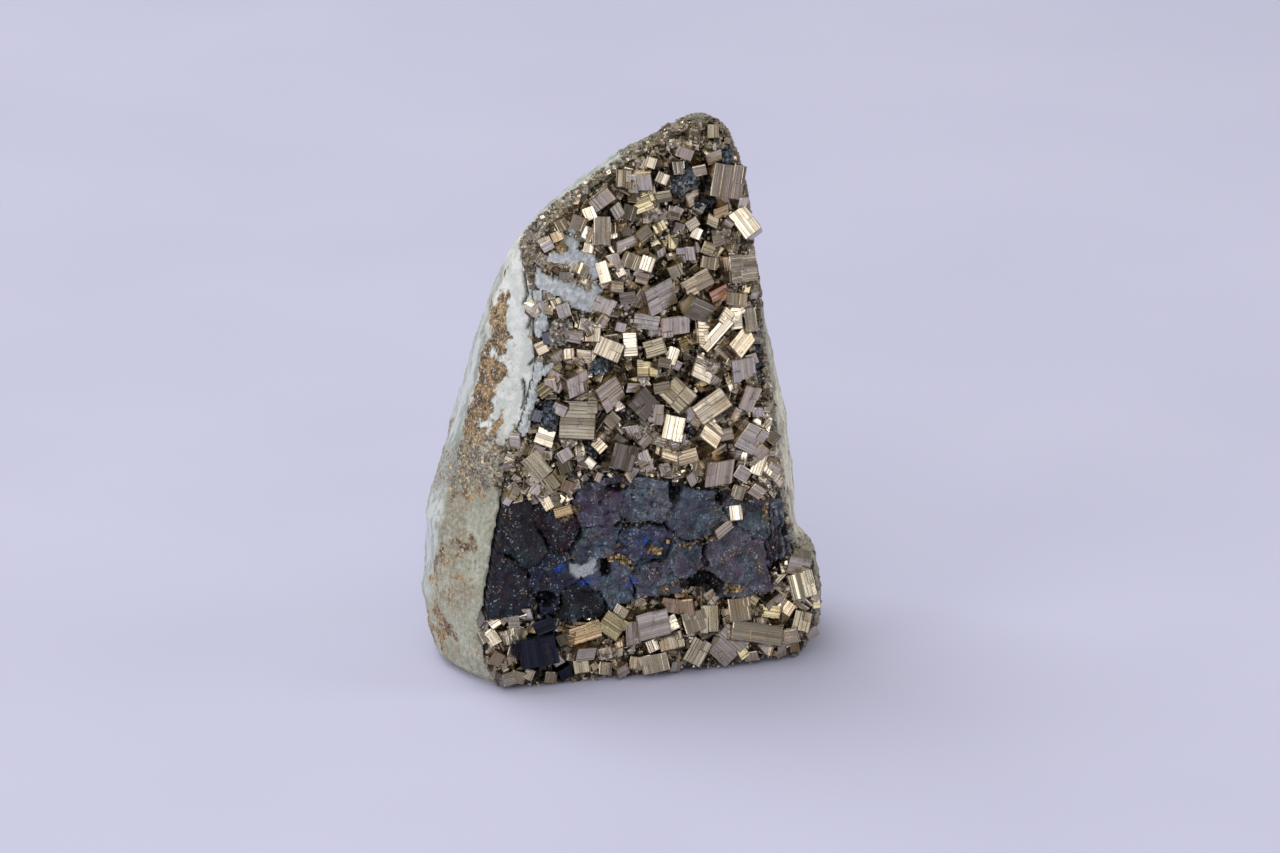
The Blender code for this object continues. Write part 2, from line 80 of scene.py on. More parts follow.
# Front edges of the crusts: height, left, right.
LEFT, RIGHT = 1, 2
EDGES = (
    (0.0, -11.2, 12.0), (0.7, -12.2, 12.9), (2.4, -13.0, 13.9), (5.2, -13.2, 14.2), (8.0, -12.8, 13.9),
    (9.2, -12.5, 12.3), (12.0, -11.9, 11.7), (15.0, -11.2, 11.3), (18.6, -10.4, 11.0), (22.2, -8.9, 10.7),
    (26.0, -7.9, 10.3), (30.0, -8.0, 10.0), (33.4, -7.6, 9.6), (36.2, -6.3, 9.4), (38.5, -3.4, 9.2),
    (40.6, 0.1, 8.7), (42.6, 3.8, 8.0), (43.0, 4.4, 7.8), (43.7, 5.4, 7.1),
)
CRUST_TOP = 42.6
BAND_TOP = (
    (-9.5, 15.0), (-7.0, 14.3), (-5.7, 14.4), (-4.9, 15.8), (-2.4, 16.3), (0.5, 16.1), (2.5, 15.5),
    (4.5, 14.9), (6.5, 14.5), (8.3, 13.4),
)
BAND_FOOT = (
    (-10.0, 6.1), (-7.0, 5.7), (-4.2, 5.2), (-2.0, 6.3), (1.0, 6.7), (3.5, 7.1), (6.0, 6.1), (8.5, 6.0),
    (10.4, 6.3), (11.6, 8.2),
)
BAND_TOP_ENDS = (15.2, 13.5)
BAND_FOOT_ENDS = (6.1, 9.0)
LOWER_FOOT = ((-11.8, 0.5), (-9.5, 0.0), (4.0, 0.1), (9.0, 0.3), (11.6, 0.6), (13.2, 1.5))
LOWER_FOOT_ENDS = (2.4, 2.6)

# Crystals as seen from the front: x, z, width, height, turn, then a tone and the way the stripes run.
# W, C and L are cubes whose face is turned up to the left, where it mirrors the window light. N faces front.
UPPER_CRYSTALS = (
    (1.0, 39.8, 1.8, 1.4, 10, "gv"), (-0.3, 39.7, 1.4, 1.4, -8, "dv"), (1.8, 40.9, 0.9, 0.9, -25, "Cv"),
    (2.7, 39.6, 1.0, 0.9, -30, "Cv"), (-2.2, 38.5, 1.9, 1.1, 40, "pv"), (1.2, 37.5, 1.4, 1.3, 12, "oh"),
    (-0.1, 37.1, 1.1, 1.2, -20, "dv"), (2.7, 38.1, 1.6, 0.9, 5, "dh"), (-2.5, 35.9, 1.3, 2.1, -5, "lv"),
    (2.4, 35.7, 1.0, 0.9, 20, "ov"), (3.4, 36.8, 1.1, 1.0, -15, "bh"), (7.4, 39.1, 2.8, 2.5, -13, "pv"),
    (9.4, 35.5, 1.5, 2.3, 30, "Wv"), (8.9, 37.5, 0.9, 0.8, -10, "cv"), (7.1, 36.9, 1.3, 1.0, 8, "ah"),
    (6.3, 36.0, 1.1, 1.0, -22, "dh"), (5.3, 35.1, 0.8, 0.9, -30, "Wv"), (4.6, 41.7, 1.3, 0.9, -20, "bv"),
    (6.7, 41.3, 1.3, 1.0, 14, "gh"), (7.0, 42.9, 0.9, 1.1, -6, "dv"), (-0.7, 34.9, 2.0, 1.0, 6, "ph"),
    (-2.3, 32.5, 0.9, 1.7, 10, "Wv"), (-3.4, 34.6, 0.8, 0.9, -18, "cv"), (-1.5, 33.6, 1.1, 1.0, 16, "pv"),
    (-0.1, 33.3, 1.4, 1.2, -25, "pv"), (1.2, 33.0, 1.1, 1.2, -25, "Wv"), (-2.45, 30.2, 1.5, 1.2, -25, "cv"),
    (-0.4, 30.6, 1.3, 1.0, 10, "dh"), (1.7, 30.5, 2.5, 2.1, 17, "gh"), (1.1, 28.7, 2.0, 1.3, -6, "gh"),
    (-0.4, 26.7, 1.1, 1.8, -2, "Wh"), (-3.3, 27.6, 1.2, 1.2, -10, "Cv"), (-2.1, 26.4, 2.1, 1.5, -30, "Cv"),
    (8.4, 32.1, 2.4, 2.0, 2, "gh"), (6.1, 32.6, 1.3, 1.0, -14, "pv"), (6.8, 30.4, 1.5, 1.0, 20, "sh"),
    (8.2, 29.6, 1.6, 1.0, -12, "pv"), (8.4, 28.0, 1.0, 1.8, 0, "Wh"), (9.5, 28.0, 0.9, 1.8, 4, "lv"),
    (6.7, 26.9, 3.0, 0.9, 42, "Wh"), (8.2, 26.1, 2.3, 1.5, 42, "bh"), (4.9, 29.5, 2.3, 1.6, -35, "dh"),
    (5.4, 31.3, 2.2, 1.2, 25, "bh"), (3.2, 28.2, 2.2, 1.5, 3, "pv"), (5.4, 27.3, 1.9, 2.1, -5, "ph"),
    (3.9, 26.3, 1.2, 1.0, 12, "oh"), (7.1, 28.4, 1.1, 1.3, -40, "bh"), (9.4, 25.0, 0.9, 0.9, 18, "pv"),
    (3.2, 30.8, 0.9, 0.9, 0, "bv"), (3.1, 34.4, 0.8, 1.2, -8, "ov"), (4.6, 33.8, 1.3, 1.2, 12, "gv"),
    (6.1, 33.9, 1.0, 1.0, -25, "oh"), (-4.7, 20.8, 2.7, 2.9, -9, "Lh"), (-2.6, 23.2, 2.0, 2.2, 27, "bh"),
    (-2.3, 20.9, 1.1, 1.0, 42, "cv"), (-7.5, 19.8, 1.4, 1.3, -25, "Wh"), (-5.3, 24.2, 1.9, 1.7, 10, "pv"),
    (-5.0, 18.5, 0.9, 0.9, 0, "gv"), (0.1, 22.1, 1.9, 1.9, 40, "dv"), (0.45, 24.6, 1.8, 1.2, -4, "oh"),
    (1.6, 26.3, 1.6, 1.3, 10, "dh"), (-0.4, 20.0, 1.3, 1.2, 22, "gv"), (-1.9, 18.0, 2.2, 1.9, -22, "dv"),
    (3.0, 19.6, 1.6, 1.9, -18, "Wv"), (6.1, 21.2, 2.7, 1.7, 28, "Ch"), (5.0, 24.2, 1.8, 1.9, -25, "gh"),
    (3.5, 22.3, 2.0, 2.2, 40, "dv"), (1.6, 21.2, 1.2, 1.5, -6, "bv"), (5.5, 19.0, 1.8, 1.8, -38, "bh"),
    (9.0, 22.0, 1.2, 2.0, -20, "bv"), (8.5, 24.2, 1.9, 1.7, 5, "lv"), (8.8, 18.9, 2.0, 2.2, -35, "gh"),
    (7.2, 19.1, 1.1, 1.0, 10, "bh"), (9.9, 16.2, 1.0, 1.8, -25, "Wv"), (3.1, 25.4, 0.9, 1.4, -25, "Wv"),
    (1.9, 23.4, 1.3, 1.0, 8, "oh"), (0.5, 17.7, 1.0, 1.0, 20, "cv"), (2.2, 17.6, 1.5, 1.1, -15, "bh"),
    (4.1, 17.3, 1.6, 1.1, 12, "bh"), (6.1, 16.4, 2.3, 2.2, -3, "bv"), (8.2, 15.8, 1.3, 1.1, -35, "gh"),
    (-8.4, 17.7, 1.5, 2.0, 35, "gv"), (-7.3, 16.3, 1.5, 1.2, 35, "ov"), (7.5, 22.9, 1.0, 1.2, 15, "gv"),
    (-6.3, 22.3, 1.1, 1.0, -20, "gv"), (-6.5, 26.4, 1.1, 1.0, 28, "bv"), (-4.9, 27.9, 1.2, 1.0, -12, "ph"),
    (-5.8, 30.0, 1.0, 1.1, 16, "gv"), (-4.2, 36.7, 1.2, 1.1, -24, "bv"), (0.9, 35.4, 1.2, 1.1, 30, "oh"),
    (4.8, 38.0, 1.2, 1.1, 22, "bh"), (-6.9, 24.2, 0.9, 1.1, 12, "bv"), (-3.6, 25.4, 1.2, 1.0, 8, "gh"),
    (0.9, 31.9, 1.0, 0.9, -14, "bh"), (3.4, 32.5, 1.1, 1.0, 24, "ov"), (-6.2, 18.7, 1.1, 1.1, 30, "gv"),
)
LOWER_CRYSTALS = (
    (-2.9, 4.4, 1.8, 1.7, -40, "oh"), (-4.8, 3.9, 2.4, 1.3, 10, "kh"), (-5.3, 2.7, 1.6, 1.1, -8, "ch"),
    (-6.9, 3.5, 1.1, 0.9, 20, "dv"), (-1.4, 3.9, 1.1, 2.0, 3, "bv"), (0.3, 4.7, 2.5, 2.2, 10, "gh"),
    (2.0, 4.0, 1.3, 1.2, 20, "Wh"), (0.6, 1.1, 2.1, 1.4, 8, "gv"), (-1.1, 1.2, 1.0, 1.0, -12, "bv"),
    (-2.3, 0.9, 1.1, 1.0, 14, "bh"), (-3.6, 0.9, 1.1, 1.0, -10, "gv"), (-5.3, 1.2, 1.3, 1.1, 4, "dv"),
    (-8.3, 5.0, 1.6, 1.1, 20, "nh"), (-10.6, 1.1, 1.2, 1.1, -18, "ov"), (-11.4, 4.4, 1.2, 1.2, 10, "gv"),
    (3.4, 5.5, 1.2, 1.4, 8, "kv"), (2.0, 5.7, 1.6, 1.2, -15, "kv"), (3.8, 4.0, 1.9, 1.5, 12, "gv"),
    (5.4, 4.2, 1.4, 2.1, -5, "dv"), (6.6, 3.8, 0.9, 1.2, 14, "cv"), (7.5, 4.6, 1.7, 1.8, 2, "pv"),
    (8.7, 2.5, 4.0, 1.5, -12, "gh"), (10.1, 4.2, 2.4, 1.0, -15, "oh"), (11.6, 4.6, 1.6, 1.1, -40, "bv"),
    (10.3, 5.4, 1.5, 0.9, 25, "ph"), (12.9, 6.2, 2.0, 2.0, 8, "gv"), (12.9, 8.0, 1.7, 1.5, -10, "gh"),
    (12.9, 3.3, 1.4, 1.6, -20, "dv"), (11.6, 2.3, 2.0, 1.2, 10, "ph"), (4.2, 1.5, 1.5, 2.0, -35, "Lv"),
    (2.2, 2.5, 1.9, 1.4, 5, "dv"), (5.6, 2.45, 0.9, 0.9, -20, "ov"), (6.5, 1.3, 1.2, 0.9, 18, "cv"),
    (-9.1, 3.1, 2.8, 2.2, 6, "Nv"), (2.1, 0.8, 1.0, 0.9, -15, "gv"), (8.6, 1.0, 1.1, 0.9, 12, "bv"),
    (10.0, 1.2, 1.1, 0.9, -20, "bv"), (-6.9, 1.0, 1.2, 1.0, 20, "nv"), (-8.2, 0.8, 1.1, 0.9, -15, "ov"),
    (7.6, 1.2, 1.0, 0.9, 30, "oh"),
)
BAND_CRYSTALS = (
    (6.3, 11.5, 1.7, 0.9, 25, "bh"), (7.7, 12.6, 1.0, 1.2, 0, "Wv"), (-6.3, 13.9, 1.4, 0.8, 8, "kh"),
)

# Metal colours behind the tone letters. B is the blue of grains only.
TONES = {
    "g": (0.68, 0.62, 0.52), "b": (0.63, 0.54, 0.42), "p": (0.69, 0.60, 0.49), "o": (0.47, 0.41, 0.27),
    "d": (0.27, 0.24, 0.19), "l": (0.70, 0.64, 0.56), "c": (0.77, 0.70, 0.58), "s": (0.70, 0.43, 0.30),
    "k": (0.46, 0.35, 0.23), "n": (0.035, 0.04, 0.06), "a": (0.68, 0.50, 0.27), "B": (0.19, 0.23, 0.275),
    "N": (0.04, 0.045, 0.07), "W": (0.64, 0.59, 0.50), "C": (0.36, 0.32, 0.27), "L": (0.20, 0.187, 0.165),
}
BLUE_CUBE = Vector((0.16, 0.18, 0.21))
BLUE_GRAIN = Vector((0.22, 0.28, 0.36))
BLUE_GROUND = Vector((0.075, 0.100, 0.140))
BAND_GRAIN_TONES = (
    (0.07, 0.08, 0.12), (0.05, 0.055, 0.08), (0.12, 0.14, 0.18), (0.30, 0.20, 0.09), (0.09, 0.07, 0.12),
)

# Dark plates: x, z, width, height, turn, tint.
PLATES = (
    (-3.9, 14.1, 4.2, 3.4, 10, (0.100, 0.085, 0.145)), (0.5, 14.0, 3.8, 3.6, -8, (0.150, 0.175, 0.215)),
    (4.4, 12.7, 4.2, 3.4, 14, (0.095, 0.115, 0.155)), (-6.8, 12.5, 4.2, 3.8, -5, (0.060, 0.030, 0.048)),
    (-4.2, 11.3, 3.6, 2.8, 22, (0.085, 0.110, 0.160)), (7.6, 9.2, 5.2, 4.0, -10, (0.120, 0.110, 0.150)),
    (-9.3, 11.6, 3.6, 4.2, 12, (0.050, 0.050, 0.072)), (0.3, 10.8, 4.2, 3.0, 6, (0.060, 0.080, 0.150)),
    (9.6, 12.0, 2.8, 3.4, -18, (0.100, 0.115, 0.150)), (3.6, 9.5, 3.6, 2.6, -14, (0.100, 0.110, 0.150)),
    (-7.7, 9.2, 3.6, 3.2, 18, (0.040, 0.052, 0.110)), (-3.0, 8.4, 3.2, 2.6, -20, (0.100, 0.130, 0.190)),
    (0.6, 8.0, 3.0, 2.2, 8, (0.090, 0.090, 0.140)), (-10.8, 8.6, 2.8, 3.8, 0, (0.050, 0.055, 0.080)),
    (10.9, 9.6, 1.8, 3.4, -6, (0.060, 0.060, 0.080)), (-5.3, 6.9, 2.8, 2.4, 4, (0.025, 0.028, 0.040)),
    (4.8, 7.4, 2.6, 1.4, 0, (0.020, 0.022, 0.030)), (7.6, 13.2, 1.8, 1.6, 9, (0.100, 0.110, 0.135)),
)
# Hollows of the band, pressed in and painted black as their shade: x, z, width, height.
HOLLOWS = (
    (4.7, 7.4, 2.4, 1.3), (2.6, 14.8, 0.7, 1.7), (-1.9, 15.4, 1.7, 0.5), (-3.2, 9.3, 0.7, 1.3),
    (11.2, 7.4, 1.5, 1.8), (6.3, 14.0, 0.6, 1.2), (-8.2, 7.2, 1.4, 1.0),
)
# Blue tarnish: x, z, width, height.
BLUE_SPOTS = ((-4.7, 8.2, 1.5, 0.7), (-1.1, 7.8, 1.0, 0.6), (-7.0, 9.5, 0.9, 0.6), (0.4, 10.9, 0.8, 0.5))
# Seams of fine grains in the band: line, how many, size, tone letter.
SEAMS = (
    (((3.0, 10.3), (4.6, 10.6), (6.4, 11.0)), 40, 0.15, "a"),
    (((-2.9, 10.1), (-1.8, 9.7), (-0.8, 9.0)), 60, 0.20, "a"),
    (((0.6, 10.2), (1.3, 10.0)), 26, 0.24, "a"), (((6.5, 6.8), (7.9, 6.6)), 34, 0.22, "a"),
    (((10.1, 12.9), (10.3, 11.7)), 34, 0.19, "k"), (((-6.3, 13.3), (-5.2, 14.2)), 34, 0.20, "k"),
    (((8.6, 10.4), (9.6, 7.6)), 26, 0.13, "k"), (((-2.0, 12.6), (-0.6, 12.2), (1.0, 12.4)), 20, 0.12, "a"),
    (((1.0, 7.0), (2.6, 7.6)), 24, 0.18, "k"), (((-7.2, 11.0), (-5.8, 10.2)), 16, 0.12, "k"),
)
# Pale clay left between the cubes, as strips: points, width.
CLAY_STRIPS = (
    (((-6.4, 33.9), (-5.0, 34.1), (-3.6, 33.7), (-3.0, 32.6)), 0.75),
    (((-7.2, 32.4), (-6.0, 31.6), (-4.8, 30.9), (-3.4, 30.2)), 0.80),
    (((-5.6, 35.3), (-4.6, 35.0)), 0.45),
    (((-7.7, 31.2), (-7.4, 29.6), (-7.6, 28.2)), 0.40),
    (((-6.2, 28.8), (-5.2, 28.4)), 0.30),
    (((-8.0, 25.6), (-8.5, 23.8), (-8.7, 22.2), (-9.4, 20.6)), 0.50),
    (((-3.2, 31.6), (-2.6, 31.2)), 0.28), (((-5.0, 36.4), (-4.0, 35.4)), 0.30),
    (((-6.6, 26.2), (-7.4, 25.0)), 0.30), (((-4.4, 29.2), (-3.6, 28.6)), 0.22),
)
# Dark blue granular ground between the cubes: x, z, width, height.
BLUE_PATCHES = (
    (4.5, 39.3, 2.3, 2.5), (5.9, 37.6, 1.9, 1.2), (8.0, 41.1, 1.0, 1.3), (-7.5, 21.4, 1.8, 3.6),
    (-2.9, 25.2, 2.4, 1.7), (-0.7, 20.2, 2.0, 2.6), (-4.4, 18.2, 3.4, 1.4), (4.3, 19.3, 1.3, 1.6),
    (-7.2, 28.1, 1.0, 2.6), (9.9, 24.6, 0.9, 5.0), (-7.6, 4.9, 5.0, 2.6), (-8.6, 1.6, 3.4, 1.6),
)
# Crystals crusted with grains: x, z, width, height, tone letter.
CRUSTS = (
    (4.5, 39.3, 2.2, 2.4, "B"), (5.9, 37.6, 1.8, 1.1, "n"), (8.0, 41.1, 0.9, 1.2, "B"),
    (1.8, 37.1, 1.4, 1.4, "c"), (7.3, 35.2, 1.5, 0.8, "c"), (-5.8, 34.9, 0.8, 0.9, "a"),
    (3.7, 42.4, 1.1, 0.5, "c"), (6.9, 42.0, 1.3, 0.5, "g"), (-0.7, 36.2, 0.8, 0.9, "k"),
    (-5.2, 24.2, 1.3, 1.2, "g"), (6.1, 24.5, 1.3, 1.0, "l"), (0.2, 20.0, 1.5, 1.5, "g"),
    (5.4, 19.0, 1.3, 1.3, "k"), (-7.2, 21.6, 1.2, 2.4, "B"), (-3.1, 25.3, 1.6, 1.2, "B"),
    (-6.2, 28.2, 1.6, 1.8, "l"), (9.3, 23.2, 1.0, 1.6, "g"), (-5.8, 19.6, 1.4, 1.0, "c"),
    (-3.4, 2.4, 1.6, 1.3, "k"), (8.9, 4.6, 1.6, 0.9, "o"),
)
# Cracks along the left edge of the front, as lines.
ROCK_CRACKS = (
    ((-9.0, 33.2), (-8.7, 31.5), (-9.1, 30.7)), ((-8.8, 30.6), (-8.4, 29.5), (-8.8, 28.9)),
    ((-8.3, 28.8), (-8.0, 27.0), (-8.1, 26.4), (-8.7, 26.0)), ((-9.4, 24.8), (-9.1, 23.4), (-9.4, 22.6)),
)


def on_front(x, z, behind):
    """The point behind the leaning front, in millimetres."""
    return Vector((x, FRONT_FOOT_Y + LEAN * z + behind, z))


def turned_by(degrees, axis):
    return Matrix.Rotation(math.radians(degrees), 4, axis)


def tumbled(dice):
    """A turn any way at all."""
    about_x = Matrix.Rotation(dice.uniform(0, math.tau), 4, "X")
    return about_x @ Matrix.Rotation(dice.uniform(0, math.tau), 4, "Z")


def edge_x(z, column):
    """Where the left or right edge of the front is at a height."""
    for low, high in zip(EDGES, EDGES[1:]):
        if z <= high[0]:
            return low[column] + (high[column] - low[column]) * (z - low[0]) / (high[0] - low[0])
    return EDGES[-1][column]


def side(column, start, end):
    """Points along an edge of the front, from one height to another."""
    low, high = min(start, end), max(start, end)
    heights = [low] + [row[0] for row in EDGES if low < row[0] < high] + [high]
    if start > end:
        heights.reverse()
    return [(edge_x(z, column), z) for z in heights]


def outlines():
    """The ground of the upper crust, the dark band and the lower crust, anticlockwise from the front."""
    left_top, right_top = BAND_TOP_ENDS
    left_foot, right_foot = BAND_FOOT_ENDS
    left_low, right_low = LOWER_FOOT_ENDS
    top, foot, low = list(BAND_TOP), list(BAND_FOOT), list(LOWER_FOOT)
    upper = side(LEFT, CRUST_TOP, left_top) + top + side(RIGHT, right_top, CRUST_TOP)
    band = side(LEFT, left_top, left_foot) + foot + side(RIGHT, right_foot, right_top) + top[::-1]
    lower = side(LEFT, left_foot, left_low) + low + side(RIGHT, right_low, right_foot) + foot[::-1]
    return upper, band, lower


def reach_of(outline):
    """Left, right, foot and top of an outline."""
    xs, zs = [p[0] for p in outline], [p[1] for p in outline]
    return min(xs), max(xs), min(zs), max(zs)


def is_inside(x, z, outline):
    crossings = 0
    for (ax, az), (bx, bz) in zip(outline, outline[1:] + outline[:1]):
        if (az > z) != (bz > z) and x < ax + (bx - ax) * (z - az) / (bz - az):
            crossings += 1
    return crossings % 2 == 1


def line_distance(x, z, line):
    """How far a place is from the nearest point of an open line."""
    here, nearest = Vector((x, z)), 1e9
    for a, b in zip(line, line[1:]):
        start, along = Vector(a), Vector(b) - Vector(a)
        share = max(0.0, min(1.0, (here - start).dot(along) / along.length_squared))
        nearest = min(nearest, (here - start - along * share).length)
    return nearest


def ease(value, low, high):
    share = max(0.0, min(1.0, (value - low) / (high - low)))
    return share * share * (3.0 - 2.0 * share)


def rough(place, size, octaves=3):
    """Layered noise of about -1 to 1 with bumps of the given size in millimetres."""
    return noise.fractal(place / size, 0.9, 2.0, octaves)


# Small solids


class Pile:
    """Closed little solids gathered into one mesh, each face with a tint and stripe coordinates."""

    def __init__(self):
        self.points, self.faces, self.tints, self.stripes = [], [], [], []

    def take(self, matrix, points, faces, tints, stripes):
        start = len(self.points)
        self.points.extend([matrix @ p for p in points])
        self.faces.extend([[start + i for i in face] for face in faces])
        self.tints.extend(tints)
        self.stripes.extend(stripes)

    def made(self, name, look, slot, node=None):
        low, high = CAD_BOX
        co = np.array([tuple(p) for p in self.points], float)
        co = np.clip(co, np.array(low) / MM + BOX_MARGIN, np.array(high) / MM - BOX_MARGIN)
        mesh = bpy.data.meshes.new(name)
        mesh.from_pydata((co * MM).tolist(), [], self.faces)
        tint = mesh.attributes.new("tint", "FLOAT_COLOR", "FACE")
        tint.data.foreach_set("color", [c for t in self.tints for c in (*t, 1.0)])
        layer = mesh.uv_layers.new(name="stripes")
        layer.data.foreach_set("uv", [c for pair in self.stripes for c in pair])
        return ride_on(name, mesh, look, node)


def ride_on(name, mesh, look, node=None):
    mesh.materials.append(look)
    obj = bpy.data.objects.new(name, mesh)
    bpy.context.scene.collection.objects.link(obj)
    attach(obj, "root")
    if node:
        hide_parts(node)
    return obj


STRIPE_AXES = {"v": ((1, 2, 0), (0, 1, 2), (2, 0, 1)), "h": ((1, 0, 2), (0, 2, 1), (2, 1, 0))}


def shade(tone, factor):
    return tuple(max(0.0, min(1.0, c * factor)) for c in tone)


def terraces(v_end, pitch, depth, slant, contrast, dice):
    """Rows across a face, each with its place, depth and how far its ends fall short, and how bright
    each terrace between two rows is."""
    count = max(2, round(2 * v_end / pitch))
    cuts = sorted(dice.uniform(0.15, 0.85) + k for k in range(count - 1))
    edges = [-v_end] + [-v_end + 2 * v_end * c / (count - 1 + 1e-9) for c in cuts] + [v_end]
    edges = sorted(max(-v_end, min(v_end, e)) for e in edges)
    rows, bright = [], []
    level = dice.uniform(0.0, depth)
    for k, (low, high) in enumerate(zip(edges, edges[1:])):
        if dice.random() < 0.75:
            level = dice.uniform(0.0, depth) * (2.0 if dice.random() < 0.15 else 1.0)
        slope = dice.uniform(-slant, slant) * (high - low)
        ramp = min(0.025, 0.15 * (high - low))
        short, long = dice.uniform(0, 0.03), dice.uniform(0, 0.03)
        rows.append((low + (ramp if k else 0), level - slope, short, long))
        rows.append((high - (ramp if k < len(edges) - 2 else 0), level + slope, short, long))
        bright.append(1.0 + dice.uniform(-contrast, contrast))
    return rows, bright


def striped_box(pile, matrix, size, tone, way, dice, pitch=0.26, depth=0.035, contrast=0.13, slant=0.05):
    """A cube crystal: on every face long terraces of slightly different height and slope, in a soft frame."""
    half = [s / 2 for s in size]
    margin = min(0.08, 0.13 * min(half))
    points, faces, tints, stripes = [], [], [], []
    corner = {}
    for signs in itertools.product((-1, 1), repeat=3):
        corner[signs] = len(points)
        points.append(Vector([s * (h - margin * dice.uniform(0.25, 0.9)) for s, h in zip(signs, half)]))
    for facing, along, across in STRIPE_AXES[way]:
        for sign in (-1, 1):
            u_end, v_end = half[along] - margin, half[across] - margin
            # Painted shade, partly tarnish: every face but the front one is painted darker by a random share.
            own = 1.0 if facing == 1 and sign < 0 else dice.uniform(0.55, 1.0)
            rows, bright = terraces(v_end, pitch, depth, slant, contrast, dice)
            base = len(points)
            for v, down, short, long in rows:
                for u in (-u_end + short, u_end - long):
                    place = Vector()
                    place[facing], place[along], place[across] = sign * (half[facing] - max(0.0, down)), u, v
                    points.append(place)
            shift = (dice.uniform(0, 50), dice.uniform(0, 50))

            def frame_corner(su, sv):
                key = [0, 0, 0]
                key[facing], key[along], key[across] = sign, su, sv
                return corner[tuple(key)]

            # Painted shade: each face's frame is painted a little darker, and the walls between terraces
            # darker still, which draws the dark stripe lines.
            frame_shade_tone, step_shade_tone = shade(tone, 0.9 * own), shade(tone, 0.75 * own)
            starts = [base + 2 * k for k in range(len(rows))]
            ends = [start + 1 for start in starts]
            made = [
                ([frame_corner(-1, -1), frame_corner(1, -1), ends[0], starts[0]], frame_shade_tone),
                ([starts[-1], ends[-1], frame_corner(1, 1), frame_corner(-1, 1)], frame_shade_tone),
                ([frame_corner(1, -1), frame_corner(1, 1)] + ends[::-1], frame_shade_tone),
                ([frame_corner(-1, 1), frame_corner(-1, -1)] + starts, frame_shade_tone),
            ]
            for k, low in enumerate(starts[:-1]):
                color = step_shade_tone if k % 2 else shade(tone, own * bright[k // 2])
                made.append(([low, low + 1, low + 3, low + 2], color))
            for face, color in made:
                if (way == "v") != (sign > 0):
                    face = face[::-1]
                faces.append(face)
                tints.append(color)
                stripes.extend([(points[i][along] + shift[0], points[i][across] + shift[1]) for i in face])
    pile.take(matrix, points, faces, tints, stripes)


def plain_box(pile, matrix, size, tone):
    corners = itertools.product((-1, 1), repeat=3)
    points = [Vector([s * h / 2 for s, h in zip(signs, size)]) for signs in corners]
    faces = [[0, 1, 3, 2], [4, 6, 7, 5], [0, 4, 5, 1], [2, 3, 7, 6], [0, 2, 6, 4], [1, 5, 7, 3]]
    pile.take(matrix, points, faces, [tone] * 6, [(0.0, 0.0)] * 24)


def standing(row, sunk, pitch=None, yaw=None):
    """Where a crystal stands: turned in its own face, tilted off the leaning front, its middle sunk in it."""
    x, z, turn = row[0], row[1], row[4]
    if pitch is None:
        pitch = MOST_PITCH * math.sin(2.9 * x + 1.7 * z)
        yaw = MOST_YAW * math.sin(1.3 * x - 2.3 * z + 1.0)
    tilt = turned_by(pitch, "X") @ turned_by(yaw, "Z")
    return Matrix.Translation(on_front(x, z, sunk)) @ turned_by(-LEAN_DEG, "X") @ tilt @ turned_by(-turn, "Y")


def sunk_depth(x, z, deep):
    return 0.35 + 0.05 * deep + 0.25 * math.sin(3.7 * x + 2.1 * z)


def companion(pile, row, deep, tone, dice):
    """A smaller cube grown into a listed one, turned another way and sunk a little deeper."""
    angle = dice.uniform(0, math.tau)
    reach = dice.uniform(0.40, 0.62)
    x, z = row[0] + math.cos(angle) * row[2] * reach, row[1] + math.sin(angle) * row[3] * reach
    if not is_inside(x, z, CRUSTED):
        return
    width = deep * dice.uniform(0.45, 0.85)
    if not (is_inside(x - 0.6 * width, z, CRUSTED) and is_inside(x + 0.6 * width, z, CRUSTED)):
        return
    height = width * dice.uniform(0.8, 1.25)
    depth = (width + height) / 2
    pitch, yaw = dice.uniform(-38, 30), dice.uniform(-38, 38)
    placed = standing((x, z, width, height, dice.uniform(-45, 45)), 0.32 + 0.32 * depth, pitch, yaw)
    tone_here = shade(tone, dice.uniform(0.6, 1.05))
    striped_box(pile, placed, (width, depth, height), tone_here, dice.choice("vh"), dice)


def main_crystal(pile, row, dice, companions=True):
    """A listed cube, with smaller blocks of the same crystal standing a little out of its larger faces."""
    x, z, width, height, turn, code = row
    width, height = width * GROWN, height * GROWN
    deep = (width + height) / 2
    letter, way = code
    tone = TONES[letter]
    pitch = yaw = None
    if letter.isupper():
        pitch, yaw = FACING_FRONT if letter == "N" else GLINT_TILT
    matrix = standing(row, sunk_depth(x, z, deep), pitch, yaw)
    calm = letter in "WCL" or deep > 2.4
    slant, contrast = (0.03, 0.45 if letter == "W" else 0.28) if calm else (0.05, 0.14)
    surface = {"slant": slant, "contrast": contrast}
    striped_box(pile, matrix, (width, deep, height), tone, way, dice, **surface)
    for _ in range(dice.choice((1, 2, 2)) if companions else 0):
        companion(pile, row, deep, tone if letter in "gbpodlcsk" else TONES["g"], dice)
    if min(width, height) < 1.2:
        return
    for _ in range(1 if calm else dice.choice((1, 1, 2))):
        shares = (dice.uniform(0.25, 0.55), dice.uniform(0.4, 0.8), dice.uniform(0.3, 0.6))
        size = (width * shares[0], deep * shares[1], height * shares[2])
        over = (dice.uniform(-0.05, 0.12), dice.uniform(0.04, 0.14), dice.uniform(-0.05, 0.12))
        move = Vector((
            dice.choice((-1, 1)) * ((width - size[0]) / 2 + over[0]),
            -((deep - size[1]) / 2 + over[1]),
            dice.choice((-1, 1)) * ((height - size[2]) / 2 + over[2]),
        ))
        tone_here = shade(tone, dice.uniform(0.88, 1.08))
        striped_box(pile, matrix @ Matrix.Translation(move), size, tone_here, way, dice, **surface)


def footprint(row, x, z):
    """How far inside a crystal's front face a place is, in millimetres, below zero outside it."""
    turn = math.radians(row[4])
    dx, dz = x - row[0], z - row[1]
    along = dx * math.cos(turn) + dz * math.sin(turn)
    up = -dx * math.sin(turn) + dz * math.cos(turn)
    return min(row[2] / 2 - abs(along), row[3] / 2 - abs(up))


